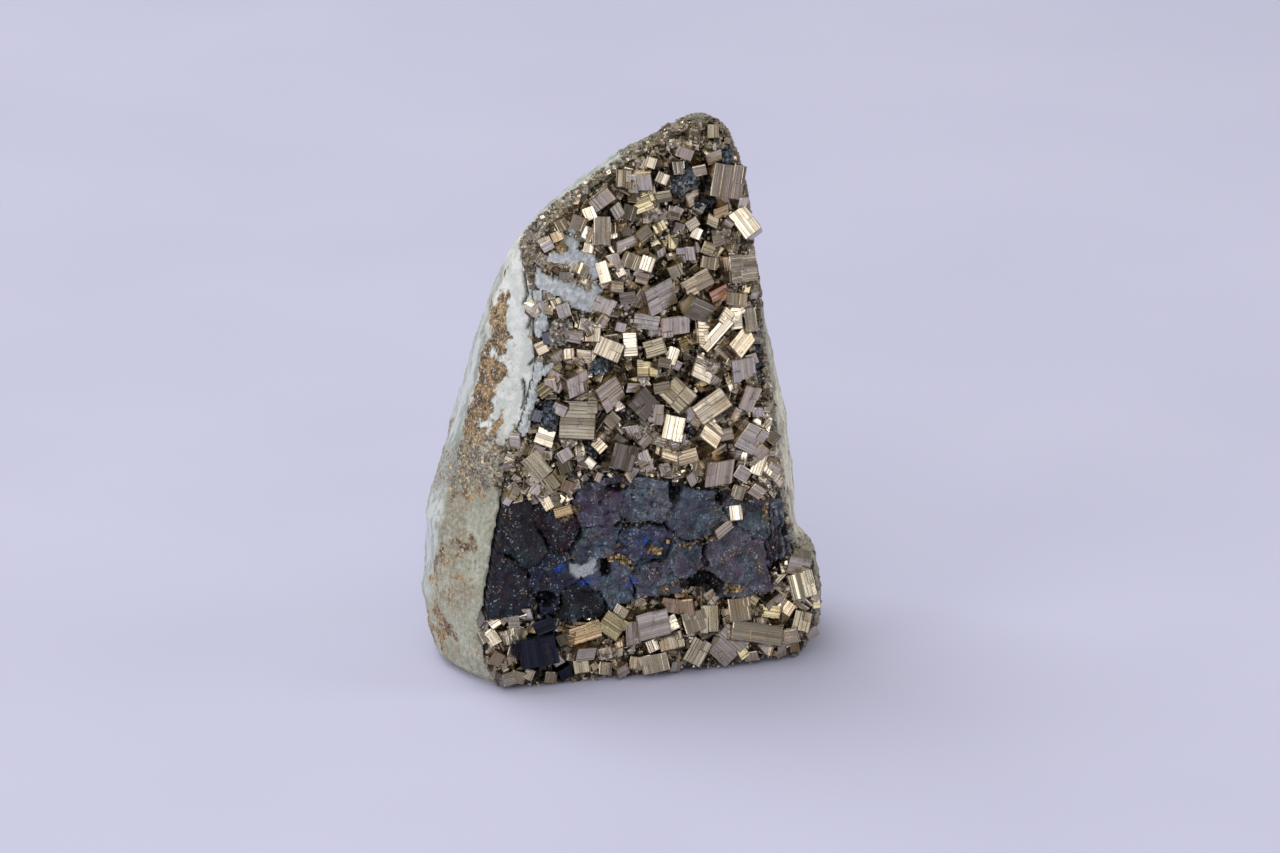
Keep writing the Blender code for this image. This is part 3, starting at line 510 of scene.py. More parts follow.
def scattered(outline, dice, count):
    left, right, foot, top = reach_of(outline)
    found = []
    while len(found) < count:
        x, z = dice.uniform(left, right), dice.uniform(foot, top)
        if is_inside(x, z, outline):
            found.append((x, z))
    return found


def clay_at(x, z):
    """How much pale clay covers a place between the cubes, 0 to 1."""
    most = 0.0
    for line, width in CLAY_STRIPS:
        ragged = width * (1.05 + 0.75 * rough(Vector((x, 7.0, z)), 0.9, 4))
        most = max(most, 1.0 - ease(line_distance(x, z, line), ragged * 0.7, ragged * 1.15))
    return most


def blue_at(x, z):
    """How dark blue the ground between the cubes is at a place, 0 to 1."""
    return max(in_ellipse(x, z, row, 0.3) for row in BLUE_PATCHES)


def less_low_down(z, share):
    """1 on most of the stone, less by the share near its foot, where everything is darker."""
    return 1.0 - share * ease(6.5 - z, 0.0, 2.0)


def lit_up_left(x, z):
    """0 on most of the stone, 1 in the sparkling upper left part of the front."""
    return ease(-x, 1.0, 4.0) * ease(z, 22.0, 28.0)


def small_crystals(outline, known, seed):
    """Small cubes in the bare places between the listed ones, on a loosened triangular grid."""
    dice = random.Random(seed)
    left, right, foot, top = reach_of(outline)
    found = []
    line = 0
    z = foot + 0.6 * SMALL_STEP
    while z < top:
        x = left + (0.5 * SMALL_STEP if line % 2 else 0.0)
        while x < right:
            px, pz = x + dice.uniform(-0.3, 0.3), z + dice.uniform(-0.3, 0.3)
            width, height = dice.uniform(0.8, 1.25), dice.uniform(0.8, 1.25)
            turn = dice.uniform(-45.0, 45.0)
            bare = all(math.hypot(px - k[0], pz - k[1]) > 0.5 * max(k[2], k[3]) + 0.3 for k in known)
            from_edge = line_distance(px, pz, outline + outline[:1])
            if bare and is_inside(px, pz, outline) and from_edge > SMALL_FROM_EDGE:
                found.append((px, pz, width, height, turn))
            x += SMALL_STEP
        z += SMALL_STEP * 0.87
        line += 1
    return found


def region_tone(x, z, dice):
    """Colour of small crystals at a place: sparkly cream on the left, copper low down, blue patches."""
    letters = "gbpogldbcp" if z > 16 else "obkgpccl"
    if x < 9.0 - 0.45 * z + 0.35 * abs(z - 28.0):
        letters += "clclp"
    blue = BLUE_CUBE * less_low_down(z, 0.65)
    tone = Vector(TONES[dice.choice(letters)]).lerp(blue, 0.85 * blue_at(x, z))
    return shade(tone, dice.uniform(0.85, 1.15) * (1.0 + 0.25 * lit_up_left(x, z)))


def fill_crystals(pile, outline, rows, dice, count):
    """Small cubes wedged into the bare places between the listed ones."""
    for x, z in scattered(outline, dice, count):
        width = 0.4 + 0.75 * dice.random() ** 1.4
        if any(footprint(row, x, z) > -0.22 * width for row in rows) or clay_at(x, z) > 0.45:
            continue
        if blue_at(x, z) > 0.5 and width > 0.5:
            continue
        if z > FILL_HIGHEST or z < FILL_LOWEST:
            continue
        height = width * dice.uniform(0.75, 1.3)
        deep = (width + height) / 2
        down = dice.random()
        place = Matrix.Translation(on_front(x, z, 0.3 + 0.3 * deep + 0.5 * down))
        tilt = turned_by(-LEAN_DEG + dice.gauss(0, 30), "X") @ turned_by(dice.gauss(0, 30), "Z")
        turned = tilt @ turned_by(dice.uniform(-45, 45), "Y")
        # Painted shade: cubes set deeper behind the front are painted darker.
        tone = shade(region_tone(x, z, dice), 1.05 - 0.5 * down)
        striped_box(pile, place @ turned, (width, deep, height), tone, dice.choice("vh"), dice, 0.24, 0.025)


def grain_shape(size, dice):
    return size, size * dice.uniform(0.7, 1.2), size * dice.uniform(0.7, 1.3)


def grains(pile, outline, dice, count, sizes, tones, behind):
    """Grains of a few tenths of a millimetre, each turned its own way."""
    for x, z in scattered(outline, dice, count):
        if clay_at(x, z) > 0.45 and dice.random() < 0.7:
            continue
        size = dice.uniform(*sizes) * (0.7 + 0.6 * dice.random() ** 3)
        turned = tumbled(dice)
        down = dice.random()
        place = Matrix.Translation(on_front(x, z, behind[0] + (behind[1] - behind[0]) * down))
        shape = grain_shape(size, dice)
        blue = BLUE_GRAIN * less_low_down(z, 0.6)
        tone = Vector(dice.choice(tones)).lerp(blue, 0.85 * blue_at(x, z))
        # Painted shade: grains set deeper behind the front are painted darker; in the upper left they are
        # painted brighter.
        lit_and_depth_shade = (1.0 + 0.35 * lit_up_left(x, z)) * (1.35 - 0.75 * down)
        plain_box(pile, place @ turned, shape, shade(tone, lit_and_depth_shade * dice.uniform(0.75, 1.15)))


def crusted(pile, outline, dice):
    """Low domes of grains grown over some of the crystals."""
    for middle_x, middle_z, width, height, letter in CRUSTS:
        for _ in range(int(60 * width * height)):
            angle, reach = dice.uniform(0, math.tau), math.sqrt(dice.random())
            x = middle_x + math.cos(angle) * reach * width / 2
            z = middle_z + math.sin(angle) * reach * height / 2
            size = dice.uniform(0.13, 0.30)
            if not is_inside(x, z, outline):
                continue
            turned = tumbled(dice)
            place = Matrix.Translation(on_front(x, z, dice.uniform(-0.35, 0.0) + 0.45 * reach ** 3))
            tone = shade(TONES[letter], dice.uniform(0.35, 1.35))
            plain_box(pile, place @ turned, (size, size * 0.9, size * 1.1), tone)


def grains_on_rock(pile, tree, dice):
    """Grains where the crusts thin out over the rock beside them, laid on its skin."""
    tones = [TONES[t] for t in "gbpoclkdd"]
    for number in range(ROCK_GRAINS):
        z = dice.uniform(0.6, 43.9) if number % 2 else dice.uniform(30.0, 44.4)
        if number % 4 == 0 or number % 10 == 3:
            shoulder = 1.6 * (1.0 - ease(z, 9.8, 11.2))
            x = edge_x(z, RIGHT) + dice.uniform(-0.2, 0.25 + shoulder + 0.2 * dice.random())
        else:
            spread = 0.6 + 2.6 * ease(z, 31.0, 37.0) + 1.0 * (1.0 - ease(abs(z - 18.5), 1.0, 3.5))
            x = edge_x(z, LEFT) - (dice.random() ** 1.3 * spread - 0.3)
        if number % 6 == 1:
            x, z = dice.uniform(3.0, 8.2), dice.uniform(42.2, 44.4)
        start = on_front(x, z, 0.0) + TO_CAMERA * 6.0
        hit, normal, _, _ = tree.ray_cast(start, -TO_CAMERA, 16.0)
        if hit is None:
            continue
        size = dice.uniform(0.12, 0.38)
        turned = tumbled(dice)
        shape = grain_shape(size, dice)
        tone = shade(dice.choice(tones), dice.uniform(0.5, 1.1))
        plain_box(pile, Matrix.Translation(hit - normal * 0.25 * size) @ turned, shape, tone)


# Grounds


def ground_mesh(name, outline, pitch, height_at, tint_at):
    """A closed sheet over a crust's ground: a rough front that follows height_at, and a plain back."""
    left, right, foot, top = reach_of(outline)
    bm = bmesh.new()
    tint = bm.verts.layers.float_color.new("tint")
    grid = {}

    def corner(i, j):
        if (i, j) not in grid:
            x, z = left + i * pitch, max(0.02, foot + j * pitch)
            vertex = bm.verts.new(on_front(x, z, height_at(x, z)))
            vertex[tint] = tint_at(x, z)
            grid[(i, j)] = vertex
        return grid[(i, j)]

    for i in range(int((right - left) / pitch) + 2):
        for j in range(int((top - foot) / pitch) + 2):
            if is_inside(left + (i + 0.5) * pitch, foot + (j + 0.5) * pitch, outline):
                bm.faces.new((corner(i, j), corner(i + 1, j), corner(i + 1, j + 1), corner(i, j + 1)))
    made = bmesh.ops.extrude_face_region(bm, geom=list(bm.faces), use_keep_orig=True)["geom"]
    for item in made:
        if isinstance(item, bmesh.types.BMVert):
            item.co = on_front(item.co.x, item.co.z, CRUST_BACK)
    bmesh.ops.recalc_face_normals(bm, faces=bm.faces)
    margin = BOX_MARGIN * MM
    for v in bm.verts:
        v.co = [max(low + margin, min(high - margin, c * MM)) for low, high, c in zip(*CAD_BOX, v.co)]
    mesh = bpy.data.meshes.new(name)
    bm.to_mesh(mesh)
    bm.free()
    return mesh


def crust_height(x, z):
    """How far behind the front the ground between the cubes lies: rough and blocky, smoother under clay."""
    place = Vector((x, 3.0, z))
    blocky = noise.cell(place * 2.2) * 0.22
    height = CRUST_FACE + 0.3 + 0.25 * rough(place, 1.3) + blocky + 0.12 * rough(place, 0.35, 2)
    height = min(height, CRUST_BACK - 0.1)
    clay = clay_at(x, z)
    smooth = 0.24 + 0.16 * rough(place, 0.9, 3) + 0.06 * rough(place, 0.3, 2)
    return height * (1 - clay) + smooth * clay


def crust_tint(x, z):
    """Matrix between the crystals: the fourth channel says how much of it is clay."""
    place = Vector((x, 9.0, z))
    damp = ease(rough(place, 2.5), -0.3, 0.4)
    blue = max(1.3 * blue_at(x, z), 1.0 - ease(z, 15.5, 19.0) if z > 14 else 0.0)
    warm = ease(5.0 - z, 0.0, 4.0)
    color = Vector((0.085, 0.074, 0.052)).lerp(Vector((0.18, 0.135, 0.08)), damp)
    color = color.lerp(BLUE_GROUND, 0.75 * blue).lerp(Vector((0.10, 0.065, 0.03)), 0.5 * warm)
    return (*color, clay_at(x, z))


def plate_at(x, z):
    """The plate on top at a place: its number, how far the next plate's border is, local coordinates."""
    ranked = []
    for number, row in enumerate(PLATES):
        turn = math.radians(row[4])
        dx, dz = x - row[0], z - row[1]
        along = (dx * math.cos(turn) + dz * math.sin(turn)) / (row[2] / 2)
        up = (-dx * math.sin(turn) + dz * math.cos(turn)) / (row[3] / 2)
        step = math.tau / (5 + number % 3)
        facet = math.cos(((math.atan2(up, along) + number) % step) - step / 2) / math.cos(step / 2)
        ragged = 0.20 * rough(Vector((x, number * 3.1, z)), 1.0, 4)
        ranked.append((ragged - math.hypot(along, up) * facet, number, along, up))
    first, second = sorted(ranked, reverse=True)[:2]
    return first[1], first[0] - second[0], first[2], first[3]


def in_ellipse(x, z, row, soft):
    """1 inside an ellipse of x, z, width, height, 0 well outside it, with a ragged edge."""
    away = math.hypot((x - row[0]) / row[2], (z - row[1]) / row[3]) * 2.0
    return 1.0 - ease(away + 0.25 * rough(Vector((x, 4.0, z)), 0.5), 1.0 - soft, 1.0 + soft)


def crescent_at(x, z):
    """The pale crescent of clear mineral low on the left of the band."""
    torn = 0.22 * rough(Vector((x, 3.0, z)), 0.6, 4)
    bowl = 1.0 - ease(math.hypot((x + 5.1) / 1.35, (z - 9.65) / 1.05) + torn, 0.85, 1.0)
    return bowl * ease(math.hypot((x + 5.3) / 1.3, (z - 10.65) / 0.95) + torn, 0.9, 1.1)


def band_gap(x, z, border):
    """How far a place lies in a crevice between plates or in a hollow, 0 to 1."""
    opened = 0.12 + 0.88 * ease(rough(Vector((x, 6.0, z)), 1.9), 0.05, 0.4)
    gap = (1.0 - ease(border, 0.01, 0.13)) * opened
    return max([gap] + [in_ellipse(x, z, row, 0.25) for row in HOLLOWS])


def streaks_at(x, z):
    """Thin upright ridges near the right end of the band."""
    return ease(x, 9.9, 10.5) * ease(z, 7.6, 8.6) * (1.0 - ease(z, 12.4, 13.4))


def ridge_at(x, z):
    """Height of the wavering ridges at a place, 0.5 on a crest and 0 in a groove."""
    return abs(((x + 0.25 * rough(Vector((x, 5.0, z)), 1.5, 2)) / 0.42) % 1.0 - 0.5)


def band_height(x, z):
    """How far behind the front the band's surface lies: tilted, stepped plates with crevices between them."""
    number, border, along, up = plate_at(x, z)
    dice = random.Random(number * 17 + 5)
    level, lean_x, lean_z = dice.uniform(-0.2, 0.35), dice.uniform(-0.3, 0.3), dice.uniform(-0.2, 0.35)
    place = Vector((x, 5.0, z))
    hummock = 0.15 * rough(place, 1.3) + 0.08 * rough(place, 0.4, 3)
    step = math.floor(1.6 * (along * 0.8 + up + 0.7 * rough(place, 1.2, 3)) + number)
    top = level + lean_x * along + lean_z * up + hummock + 0.09 * (step % 2)
    top += streaks_at(x, z) * 0.5 * ridge_at(x, z)
    clear = crescent_at(x, z)
    top = top * (1 - clear) + (0.02 + 0.05 * rough(place, 0.6)) * clear
    gap = band_gap(x, z, border) * (1 - clear)
    return max(-0.7, min(CRUST_BACK - 0.1, top * (1 - gap) + (1.05 + 0.15 * rough(place, 0.4)) * gap))


def band_tint(x, z):
    """Tarnish colour with painted shade, near black, in the crevices and hollows, and the fourth channel for
    pale clear mineral.
    """
    number, border = plate_at(x, z)[:2]
    place = Vector((x, 2.0, z))
    teal = 0.45 * ease(rough(place, 1.6), 0.0, 0.5)
    violet = 0.35 * ease(rough(place + Vector((40, 0, 0)), 1.3), 0.1, 0.5)
    color = Vector(PLATES[number][5]).lerp(Vector((0.060, 0.120, 0.150)), teal)
    color = color.lerp(Vector((0.130, 0.060, 0.120)), violet)
    color = color * (0.85 + 0.40 * rough(place + Vector((80, 0, 0)), 0.6, 3))
    color = color * (0.55 + 0.45 * ease(x, -8.5, -3.0))
    grey = sum(color) / 3.0
    color = color.lerp(Vector((grey, grey, grey)), 0.22)
    # Painted shade: the crevices between plates and the hollows are painted near black.
    color = color.lerp(Vector((0.012, 0.012, 0.014)), band_gap(x, z, border))
    torn = 0.25 + 0.75 * ease(rough(place, 0.3, 3), -0.1, 0.25)
    for spot in BLUE_SPOTS:
        color = color.lerp(Vector((0.03, 0.12, 0.52)), 0.9 * torn * in_ellipse(x, z, spot, 0.5))
    pale_ridges = (1.0 - ease(ridge_at(x, z), 0.05, 0.3)) * ease(rough(place, 0.8), -0.2, 0.4)
    return (*[max(0.0, c) for c in color], crescent_at(x, z) + 0.45 * streaks_at(x, z) * pale_ridges)


def seam_grains(pile, dice):
    """Gold and copper grains along the seams of the band."""
    for line, count, size, letter in SEAMS:
        for _ in range(count):
            k = dice.randrange(len(line) - 1)
            share = dice.random()
            x = line[k][0] + (line[k + 1][0] - line[k][0]) * share + dice.gauss(0, 0.16)
            z = line[k][1] + (line[k + 1][1] - line[k][1]) * share + dice.gauss(0, 0.12)
            edge = size * dice.uniform(0.6, 1.5)
            turned = tumbled(dice)
            place = Matrix.Translation(on_front(x, z, min(0.8, band_height(x, z)) - 0.02))
            shape = (edge, edge * dice.uniform(0.6, 1.1), edge * dice.uniform(0.7, 1.4))
            plain_box(pile, place @ turned, shape, shade(TONES[letter], dice.uniform(0.3, 1.2)))


# Rock


def rock_mesh():
    """The rock's solid remeshed finely, its skin roughened, with weights that say what coats it."""
    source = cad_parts["host_rock"].data.copy()
    source.transform(Matrix.Scale(1.0 / MM, 4))
    holder = bpy.data.objects.new("rock_source", source)
    bpy.context.scene.collection.objects.link(holder)
    remesh = holder.modifiers.new("fine", "REMESH")
    remesh.mode = "VOXEL"
    remesh.voxel_size = ROCK_VOXEL
    depsgraph = bpy.context.evaluated_depsgraph_get()
    mesh = bpy.data.meshes.new_from_object(holder.evaluated_get(depsgraph))
    bpy.data.objects.remove(holder)
    mesh.materials.clear()
    skin = mesh.attributes.new("skin", "FLOAT_COLOR", "POINT")
    extra = mesh.attributes.new("extra", "FLOAT_COLOR", "POINT")
    skins, extras, moved = [], [], []
    low, high = np.array(CAD_BOX[0]) / MM, np.array(CAD_BOX[1]) / MM
    for vertex in mesh.vertices:
        p, n = vertex.co.copy(), vertex.normal.copy()
        rust, clay, rim, grit, green, crack = rock_zones(p, n)
        skins.append((rust, clay, rim, 1.0))
        extras.append((grit, green, crack, 1.0))
        if p.z > FLAT_FOOT:
            wave = (0.08 - 0.05 * rim) * rough(p, 2.2)
            wave += (0.04 + 0.12 * grit + 0.06 * rust - 0.02 * rim) * rough(p, 0.45, 3)
            chip = 0.10 * max(0.0, noise.cell(p * 1.6) - 0.35) * (grit + 0.4 * rust)
            p = p + n * (wave - 0.06 + chip - 0.22 * crack)
            p.z = max(p.z, 0.02)
        moved.append(tuple(p))
    co = np.clip(np.array(moved), low + ROCK_BOX_MARGIN, high - ROCK_BOX_MARGIN)
    flat = np.array([v.co.z <= FLAT_FOOT for v in mesh.vertices])
    co[flat, 2] = low[2]
    mesh.vertices.foreach_set("co", (co * MM).ravel())
    skin.data.foreach_set("color", [c for s in skins for c in s])
    extra.data.foreach_set("color", [c for s in extras for c in s])
    mesh.update()
    return mesh


def rock_zones(p, n):
    """Weights of rust, clay, pale rim, granular skin, yellow-green edge and cracks at a place on the rock."""
    slide = (FRONT_FOOT_Y + LEAN * p.z - p.y) / (TO_CAMERA.y - LEAN * TO_CAMERA.z)
    fx, fz = p.x + slide * TO_CAMERA.x, p.z + slide * TO_CAMERA.z
    front = ease(n.dot(TO_CAMERA), -0.1, 0.2)
    ragged = rough(Vector((fx, 1.0, fz)), 1.4)
    fine = rough(Vector((fx, 8.0, fz)), 0.5)
    if p.x < 0:
        away = edge_x(fz, LEFT) - fx
        spread = 0.25 + 2.6 * ease(fz, 31.0, 37.0) + 0.25 * fine
        inner = -10.3 + 0.5 * ragged + 0.25 * fine - 0.22 * max(0.0, 25.0 - fz)
        outer = -11.2 - 0.285 * (33.0 - fz) + 0.5 * ragged
        rust = ease(inner - fx, -0.15, 0.25) * ease(fx - outer, -0.2, 0.5) * (1.0 - ease(fz, 32.0, 34.5))
        rust *= 0.25 + 0.75 * max(ease(fz, 14.0, 19.0), ease(rough(p, 4.0), 0.0, 0.3))
        clay = ease(fx - outer, -0.1, 0.4) * ease(fz, 18.0, 19.8) * (1.0 - ease(fz, 35.5, 38.5))
        clay *= 1.0 - ease(0.25 * fine - away, 0.15, 0.7)
        # The rim: the glossy left edge and the crest, where a pale colour is painted as their highlight.
        rim = max(1.0 - ease(fx - outer, -0.5, 0.4), ease(fz, 33.0, 36.0))
        sandy = (1.0 - ease(fz, 19.2, 21.5 + 0.6 * ragged)) * ease(fz, 15.5, 17.5)
        crest = ease(p.z + 0.4 * fine, 41.2, 42.2)
        grit = max(sandy * 0.8, 1.0 - ease(away, spread - 0.25, spread + 0.35), crest)
        green = 0.35 * (1.0 - ease(fz, 12.0, 22.0))
        crack = max(1.0 - ease(line_distance(fx, fz, line), 0.05, 0.2) for line in ROCK_CRACKS)
        crack *= ease(n.dot(TO_CAMERA), 0.3, 0.6)
    else:
        beside = fx - edge_x(fz, RIGHT)
        rust = 0.35 * ease(ragged, 0.15, 0.5)
        clay, rim, crack = 0.0, 0.0, 0.0
        green = ease(beside, 0.25, 0.8)
        shoulder = 1.0 - ease(fz + 0.3 * fine, 9.8, 11.0)
        grit = max(1.0 - ease(beside, 0.0, 0.5), 0.8 * ease(p.z, 40.0, 42.0), 0.9 * shoulder)
    hidden = 1.0 - front
    back_rust = 0.7 * ease(rough(p + Vector((30, 0, 0)), 6.0), 0.12, 0.45)
    back_rim = 0.55 * ease(rough(p - Vector((30, 0, 0)), 5.0), 0.0, 0.4)
    rust = rust * front + back_rust * hidden
    rim = rim * front + back_rim * hidden
    green = green * front + 0.25 * hidden
    return rust, clay * front, rim, grit * front + 0.25 * hidden, green, crack * front


# Looks


class Look:
    """A material being wired: each call adds one node and returns its output."""

    def __init__(self, name):
        self.material = bpy.data.materials.new(name)
        self.material.use_nodes = True
        self.tree = self.material.node_tree
        self.shader = self.tree.nodes["Principled BSDF"]
        self.coords = None

    def plug(self, socket, value):
        if isinstance(value, bpy.types.NodeSocket):
            self.tree.links.new(value, socket)
        elif isinstance(value, (int, float)) and socket.type == "RGBA":
            socket.default_value = (value, value, value, 1.0)
        else:
            socket.default_value = value

    def node(self, kind, **settings):
        made = self.tree.nodes.new(kind)
        for key, value in settings.items():
            setattr(made, key, value)
        return made

    def place(self, stretch=(1.0, 1.0, 1.0)):
        """Place on the object in millimetres, stretched by axis."""
        made = self.node("ShaderNodeMapping")
        if self.coords is None:
            self.coords = self.node("ShaderNodeTexCoord").outputs["Object"]
        self.plug(made.inputs["Vector"], self.coords)
        made.inputs["Scale"].default_value = tuple(s / MM for s in stretch)
        return made.outputs["Vector"]

    def stripes(self, stretch):
        made = self.node("ShaderNodeMapping")
        self.plug(made.inputs["Vector"], self.node("ShaderNodeUVMap", uv_map="stripes").outputs["UV"])
        made.inputs["Scale"].default_value = stretch
        return made.outputs["Vector"]

    def noise(self, at, scale, detail=3.0, roughness=0.6, distortion=0.0):
        made = self.node("ShaderNodeTexNoise")
        self.plug(made.inputs["Vector"], at)
        names = ("Scale", "Detail", "Roughness", "Distortion")
        for name, value in zip(names, (scale, detail, roughness, distortion)):
            made.inputs[name].default_value = value
        return made.outputs["Fac"]

    def flecks(self, at, scale):
        """Three random numbers for each small cell."""
        made = self.node("ShaderNodeTexVoronoi", feature="F1")
        self.plug(made.inputs["Vector"], at)
        made.inputs["Scale"].default_value = scale
        return self.parts(made.outputs["Color"])

    def span(self, value, low, high, to_low=0.0, to_high=1.0):
        """A smooth step between two values, onto a span of its own."""
        made = self.node("ShaderNodeMapRange", interpolation_type="SMOOTHSTEP")
        self.plug(made.inputs["Value"], value)
        for name, amount in zip(("From Min", "From Max", "To Min", "To Max"), (low, high, to_low, to_high)):
            made.inputs[name].default_value = amount
        return made.outputs["Result"]

    def math(self, operation, a, b=0.0):
        made = self.node("ShaderNodeMath", operation=operation)
        self.plug(made.inputs[0], a)
        self.plug(made.inputs[1], b)
        return made.outputs[0]

    def both(self, a, b):
        return self.math("MULTIPLY", a, b)

    def mix(self, share, a, b, blend="MIX"):
        made = self.node("ShaderNodeMix", data_type="RGBA", blend_type=blend)
        self.plug(made.inputs["Factor"], share)
        for socket, value in ((made.inputs[6], a), (made.inputs[7], b)):
            self.plug(socket, (*value, 1.0) if isinstance(value, tuple) else value)
        return made.outputs[2]

    def filtered(self, color, by):
        return self.mix(1.0, color, by, "MULTIPLY")

    def attribute(self, name):
        return self.node("ShaderNodeAttribute", attribute_name=name)

    def parts(self, color):
        made = self.node("ShaderNodeSeparateColor")
        self.plug(made.inputs["Color"], color)
        return made.outputs

    def bump(self, height, distance, strength=1.0, after=None):
        made = self.node("ShaderNodeBump")
        self.plug(made.inputs["Height"], height)
        made.inputs["Distance"].default_value = distance
        made.inputs["Strength"].default_value = strength
        if after is not None:
            self.plug(made.inputs["Normal"], after)
        return made.outputs["Normal"]

    def finish(self, **inputs):
        for name, value in inputs.items():
            self.plug(self.shader.inputs[name.replace("_", " ")], value)
        return self.material


def pyrite_look():
    """Striped metallic faces: fine lines along the growth stripes, golden and stained patches, tiny pits
    painted dark as their shade.
    """
    look = Look("pyrite")
    tint = look.attribute("tint").outputs["Color"]
    place = look.place()
    lines = look.noise(look.stripes((0.12, 7.0, 1.0)), 1.0, 3.0, 0.6)
    fine = look.noise(look.stripes((0.3, 26.0, 1.0)), 1.0, 1.0, 0.5)
    patches = look.noise(place, 0.9, 4.0, 0.65)
    specks = look.noise(place, 9.0, 3.0, 0.7)
    color = look.mix(look.span(lines, 0.34, 0.62), look.filtered(tint, (0.72, 0.68, 0.63)), tint)
    golden = look.filtered(color, (0.85, 0.62, 0.30))
    color = look.mix(look.span(patches, 0.52, 0.74, 0.0, 0.6), color, golden)
    stain = look.both(look.span(patches, 0.46, 0.30), look.span(specks, 0.42, 0.58))
    stain = look.both(stain, PYRITE_DIRT)
    color = look.mix(stain, color, (0.055, 0.045, 0.028))
    # Painted shade: the tiny pits, only bumped in, are painted near black.
    pits = look.span(specks, 0.30, 0.24)
    color = look.mix(look.both(pits, 0.6), color, (0.03, 0.026, 0.02))
    roughness = look.math("ADD", look.span(patches, 0.3, 0.7, 0.13, 0.25), look.both(stain, 0.35))
    metal = look.span(stain, 0.0, 1.0, 1.0, 0.35)
    normal = look.bump(lines, 0.000016, 0.8)
    normal = look.bump(fine, 0.000006, 0.6, normal)
    normal = look.bump(specks, 0.000012, 0.35, normal)
    return look.finish(Base_Color=color, Roughness=roughness, Metallic=metal, Normal=normal)


def grain_look():
    look = Look("pyrite_grains")
    tint = look.attribute("tint").outputs["Color"]
    patches = look.noise(look.place(), 3.0, 3.0)
    color = look.mix(look.span(patches, 0.4, 0.65, 0.0, 0.6), tint, (0.10, 0.09, 0.06))
    roughness = look.span(patches, 0.3, 0.7, 0.22, 0.45)
    normal = look.bump(look.noise(look.place(), 14.0), 0.00002, 0.4)
    return look.finish(Base_Color=color, Roughness=roughness, Metallic=0.9, Normal=normal)


def matrix_look():
    """The dark granular ground between the cubes, with pale clay where the fourth channel says so."""
    look = Look("crust_matrix")
    source = look.attribute("tint")
    tint = source.outputs["Color"]
    place = look.place()
    grit = look.noise(place, 6.0, 4.0, 0.7)
    flecks = look.flecks(place, 5.0)
    color = look.mix(look.span(grit, 0.35, 0.7), look.filtered(tint, (0.45, 0.45, 0.45)), tint)
    shine = look.span(flecks[0], 0.80, 0.86)
    color = look.mix(shine, color, look.mix(flecks[1], (0.55, 0.45, 0.26), (0.62, 0.60, 0.55)))
    rusty = look.span(look.noise(place, 0.8, 3.0), 0.56, 0.68, 0.0, 0.6)
    color = look.mix(rusty, color, (0.11, 0.07, 0.025))
    torn = look.both(look.math("SUBTRACT", grit, 0.5), 0.6)
    clay = look.span(look.math("ADD", source.outputs["Alpha"], torn), 0.35, 0.6)
    cloudy = look.span(look.noise(place, 2.5, 4.0), 0.35, 0.65)
    color = look.mix(clay, color, look.mix(cloudy, (0.46, 0.51, 0.52), (0.80, 0.84, 0.86)))
    metal = look.both(shine, look.math("SUBTRACT", 1.0, clay))
    roughness = look.span(metal, 0.0, 1.0, 0.62, 0.28)
    normal = look.bump(grit, 0.00012, 0.9)
    return look.finish(Base_Color=color, Roughness=roughness, Metallic=metal, Normal=normal)


def band_look():
    """Tarnished sulphide: satin blue-black metal, violet and teal films, white sparkle and gold flecks."""
    look = Look("dark_sulphide")
    source = look.attribute("tint")
    tint, pale = source.outputs["Color"], source.outputs["Alpha"]
    place = look.place()
    film = look.noise(place, 1.3, 4.0, 0.6, 0.6)
    grit = look.noise(place, 7.0, 4.0, 0.7)
    color = look.mix(look.span(film, 0.42, 0.66, 0.0, 0.7), tint, look.filtered(tint, (1.5, 1.7, 1.7)))
    color = look.mix(look.span(film, 0.44, 0.34, 0.0, 0.5), color, look.filtered(tint, (1.3, 0.65, 0.95)))
    color = look.mix(look.span(grit, 0.5, 0.32), color, look.filtered(color, (0.35, 0.35, 0.38)))
    flecks = look.flecks(place, 10.0)
    white = look.both(look.span(flecks[0], 0.90, 0.94), look.span(film, 0.50, 0.58))
    gold = look.both(look.span(flecks[1], 0.92, 0.95), look.span(look.noise(place, 0.7), 0.52, 0.60))
    color = look.mix(look.both(white, 0.7), color, (0.50, 0.55, 0.60))
    color = look.mix(gold, color, (0.42, 0.27, 0.10))
    clear = look.mix(look.span(grit, 0.35, 0.65), (0.27, 0.30, 0.32), (0.55, 0.58, 0.60))
    color = look.mix(pale, color, clear)
    metal = look.span(pale, 0.0, 0.8, 0.75, 0.1)
    roughness = look.span(grit, 0.3, 0.7, 0.34, 0.55)
    normal = look.bump(grit, 0.00006, 0.7)
    normal = look.bump(look.noise(place, 2.2, 3.0), 0.0001, 0.5, normal)
    return look.finish(Base_Color=color, Roughness=roughness, Metallic=metal, Normal=normal)


